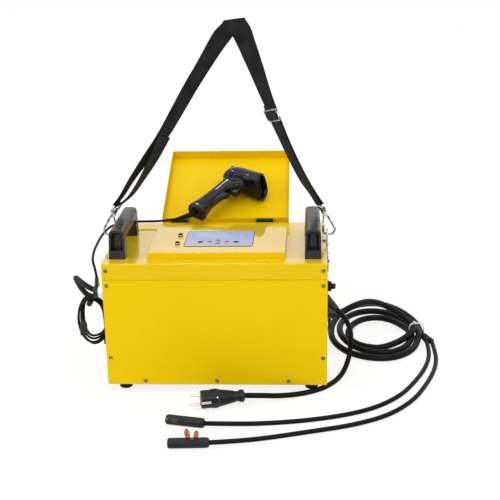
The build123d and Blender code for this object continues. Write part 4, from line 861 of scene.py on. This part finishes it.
def scannerMesh(name, look, u, v, w):
    # rings given in the scanner's own plane, which lies just above the open lid
    lean = math.radians(look["lean"])
    up = np.array((0.0, math.cos(lean), math.sin(lean)))
    out = np.array((0.0, -math.sin(lean), math.cos(lean)))
    rings = (np.array(look["origin"]) + u[..., None] * np.array((1.0, 0.0, 0.0)) + v[..., None] * up
             + w[..., None] * out)
    return gridMesh(name, fromCase(rings))

def scannerHead(look):
    # an oval carried along the head, squarer where its roundness is less, that turns in again at the nose
    # and leaves the hood hollow
    hood = np.array(look["head"][-1:] + look["hood"])
    steps = np.linspace(0, len(hood) - 1, look["hoodRows"])
    hood = np.stack([np.interp(steps, np.arange(len(hood)), column) for column in hood.T], -1)
    rows = np.concatenate([smoothRows(look["head"], look["headRows"])[:-1], hood])
    place, top, bottom, half, above, below, widest = [column[:, None] for column in rows.T]
    angle = around(look["sides"])[None, :]
    cos, sin = np.cos(angle), np.sin(angle)
    power = ovalPower(np.where(cos > 0, above, below))
    across = widest + drawnOut(cos, power) * np.where(cos > 0, top - widest, widest - bottom)
    lift = look["headLift"] * np.clip((look["liftUntil"] - place) / look["liftFade"], 0, 1)
    wide = half * drawnOut(sin, power) + lift
    place = place - look["slant"] * wide * np.clip((place - look["slantFrom"]) / look["slantFade"], 0, 1)
    (backU, backV), (wayU, wayV) = look["headBack"], look["headWay"]
    u, v = backU + place * wayU - across * wayV, backV + place * wayV + across * wayU
    return scannerMesh("scannerHead", look, u, v, wide)

def scannerGrip(look):
    # an oval carried along the grip's bent line
    rows = smoothRows(look["grip"], look["gripRows"])
    u, v, half, thick, roundness = [column[:, None] for column in rows.T]
    way = unit(np.gradient(rows[:, :2], axis=0))
    angle = around(look["sides"])[None, :]
    power = ovalPower(roundness)
    side = half * drawnOut(np.cos(angle), power)
    w = thick * drawnOut(np.sin(angle), power)
    return scannerMesh("scannerGrip", look, u + side * way[:, 1:], v - side * way[:, :1], w)

def scannerRest(look):
    # a circle of changing radius carried along the ridge
    u, v, w, radius = [column[:, None] for column in smoothRows(look["rest"], look["restRows"]).T]
    angle = around(look["sides"])[None, :]
    acrossU, acrossV = look["restAcross"]
    side = radius * np.cos(angle)
    u, v = u + side * acrossU, v + side * acrossV
    return scannerMesh("scannerRest", look, u, v, w + radius * np.sin(angle))

def prism(name, look, outline, low, high, drawIn):
    # an outline in the scanner's plane carried between two heights, drawn in towards both by a cube
    u, v = (smoothRows(outline, look["outlineRows"]) if drawIn else np.array(outline, float)).T
    t = np.linspace(-1, 1, look["heightRows"])[:, None]
    share = 1 - drawIn * np.abs(t) ** 3
    (u0, v0), (u1, v1) = outline[0], outline[-1]
    u, v = (u0 + u1) / 2 * (1 - share) + u * share, (v0 + v1) / 2 * (1 - share) + v * share
    w = (low + high) / 2 + t * (high - low) / 2 + 0 * u
    return scannerMesh(name, look, u, v, w)

def easeSkin(mesh, look):
    # each point goes half way to its neighbours' mean, again and again, but hardly at all by the thin hood
    points = np.zeros(len(mesh.vertices) * 3)
    mesh.vertices.foreach_get("co", points)
    points = points.reshape(-1, 3)
    ends = np.zeros(len(mesh.edges) * 2, int)
    mesh.edges.foreach_get("vertices", ends)
    a, b = ends.reshape(-1, 2).T
    lean = math.radians(look["lean"])
    flat = points * 1000 - caseAt - np.array(look["origin"])
    (backU, backV), (wayU, wayV) = look["headBack"], look["headWay"]
    v = flat[:, 1] * math.cos(lean) + flat[:, 2] * math.sin(lean)
    along = (flat[:, 0] - backU) * wayU + (v - backV) * wayV
    share = np.clip((look["easeUntil"] - along) / look["easeFade"], look["easeLeast"], 1)
    share = look["easeShare"] * share[:, None]
    size = len(points)
    count = np.bincount(ends, minlength=size)[:, None]
    for _ in range(look["easing"]):
        total = np.stack([np.bincount(a, points[b, k], size) + np.bincount(b, points[a, k], size)
                          for k in range(3)], -1)
        points += share * (total / count - points)
    mesh.vertices.foreach_set("co", points.ravel().astype(np.float32))

def applied(piece):
    # the piece's mesh with its modifiers worked in
    bpy.context.view_layer.update()
    return bpy.data.meshes.new_from_object(piece.evaluated_get(bpy.context.evaluated_depsgraph_get()))

def growSkin(shells, look):
    # shells that overlap, grown together into one skin on a grid of small cells and eased
    joined = bmesh.new()
    for shell in shells:
        joined.from_mesh(shell)
        bpy.data.meshes.remove(shell)
    mesh = bpy.data.meshes.new("scannerGrown")
    joined.to_mesh(mesh)
    joined.free()
    piece = placed("scannerGrown", mesh)
    grown = piece.modifiers.new("grown", "REMESH")
    grown.mode = "VOXEL"
    grown.voxel_size = look["voxel"]
    grown.use_smooth_shade = True
    piece.data = applied(piece)
    piece.modifiers.clear()
    easeSkin(piece.data, look)
    return piece

def addScanner(look):
    # head, grip, finger rest and the web between them as one skin, with the trigger's slot cut out
    web = prism("scannerWeb", look, *look["web"])
    grown = growSkin([scannerHead(look), scannerGrip(look), scannerRest(look), web], look)
    cutter = placed("scannerSlot", prism("scannerSlot", look, *look["slot"]))
    cut = grown.modifiers.new("cut", "BOOLEAN")
    cut.operation = "DIFFERENCE"
    cut.solver = "EXACT"
    cut.object = cutter
    mesh = applied(grown)
    mesh.name = "scannerShell"
    for spare in (grown, cutter):
        bpy.data.objects.remove(spare)
    mesh.shade_smooth()
    mesh.materials.clear()
    return addPiece("scannerShell", mesh, made["scannerPlastic"], "scanner",
                    "scanner_body")

scannerShell = addScanner(scannerSet)
print("scanner shell grown,", len(scannerShell.data.polygons), "faces")
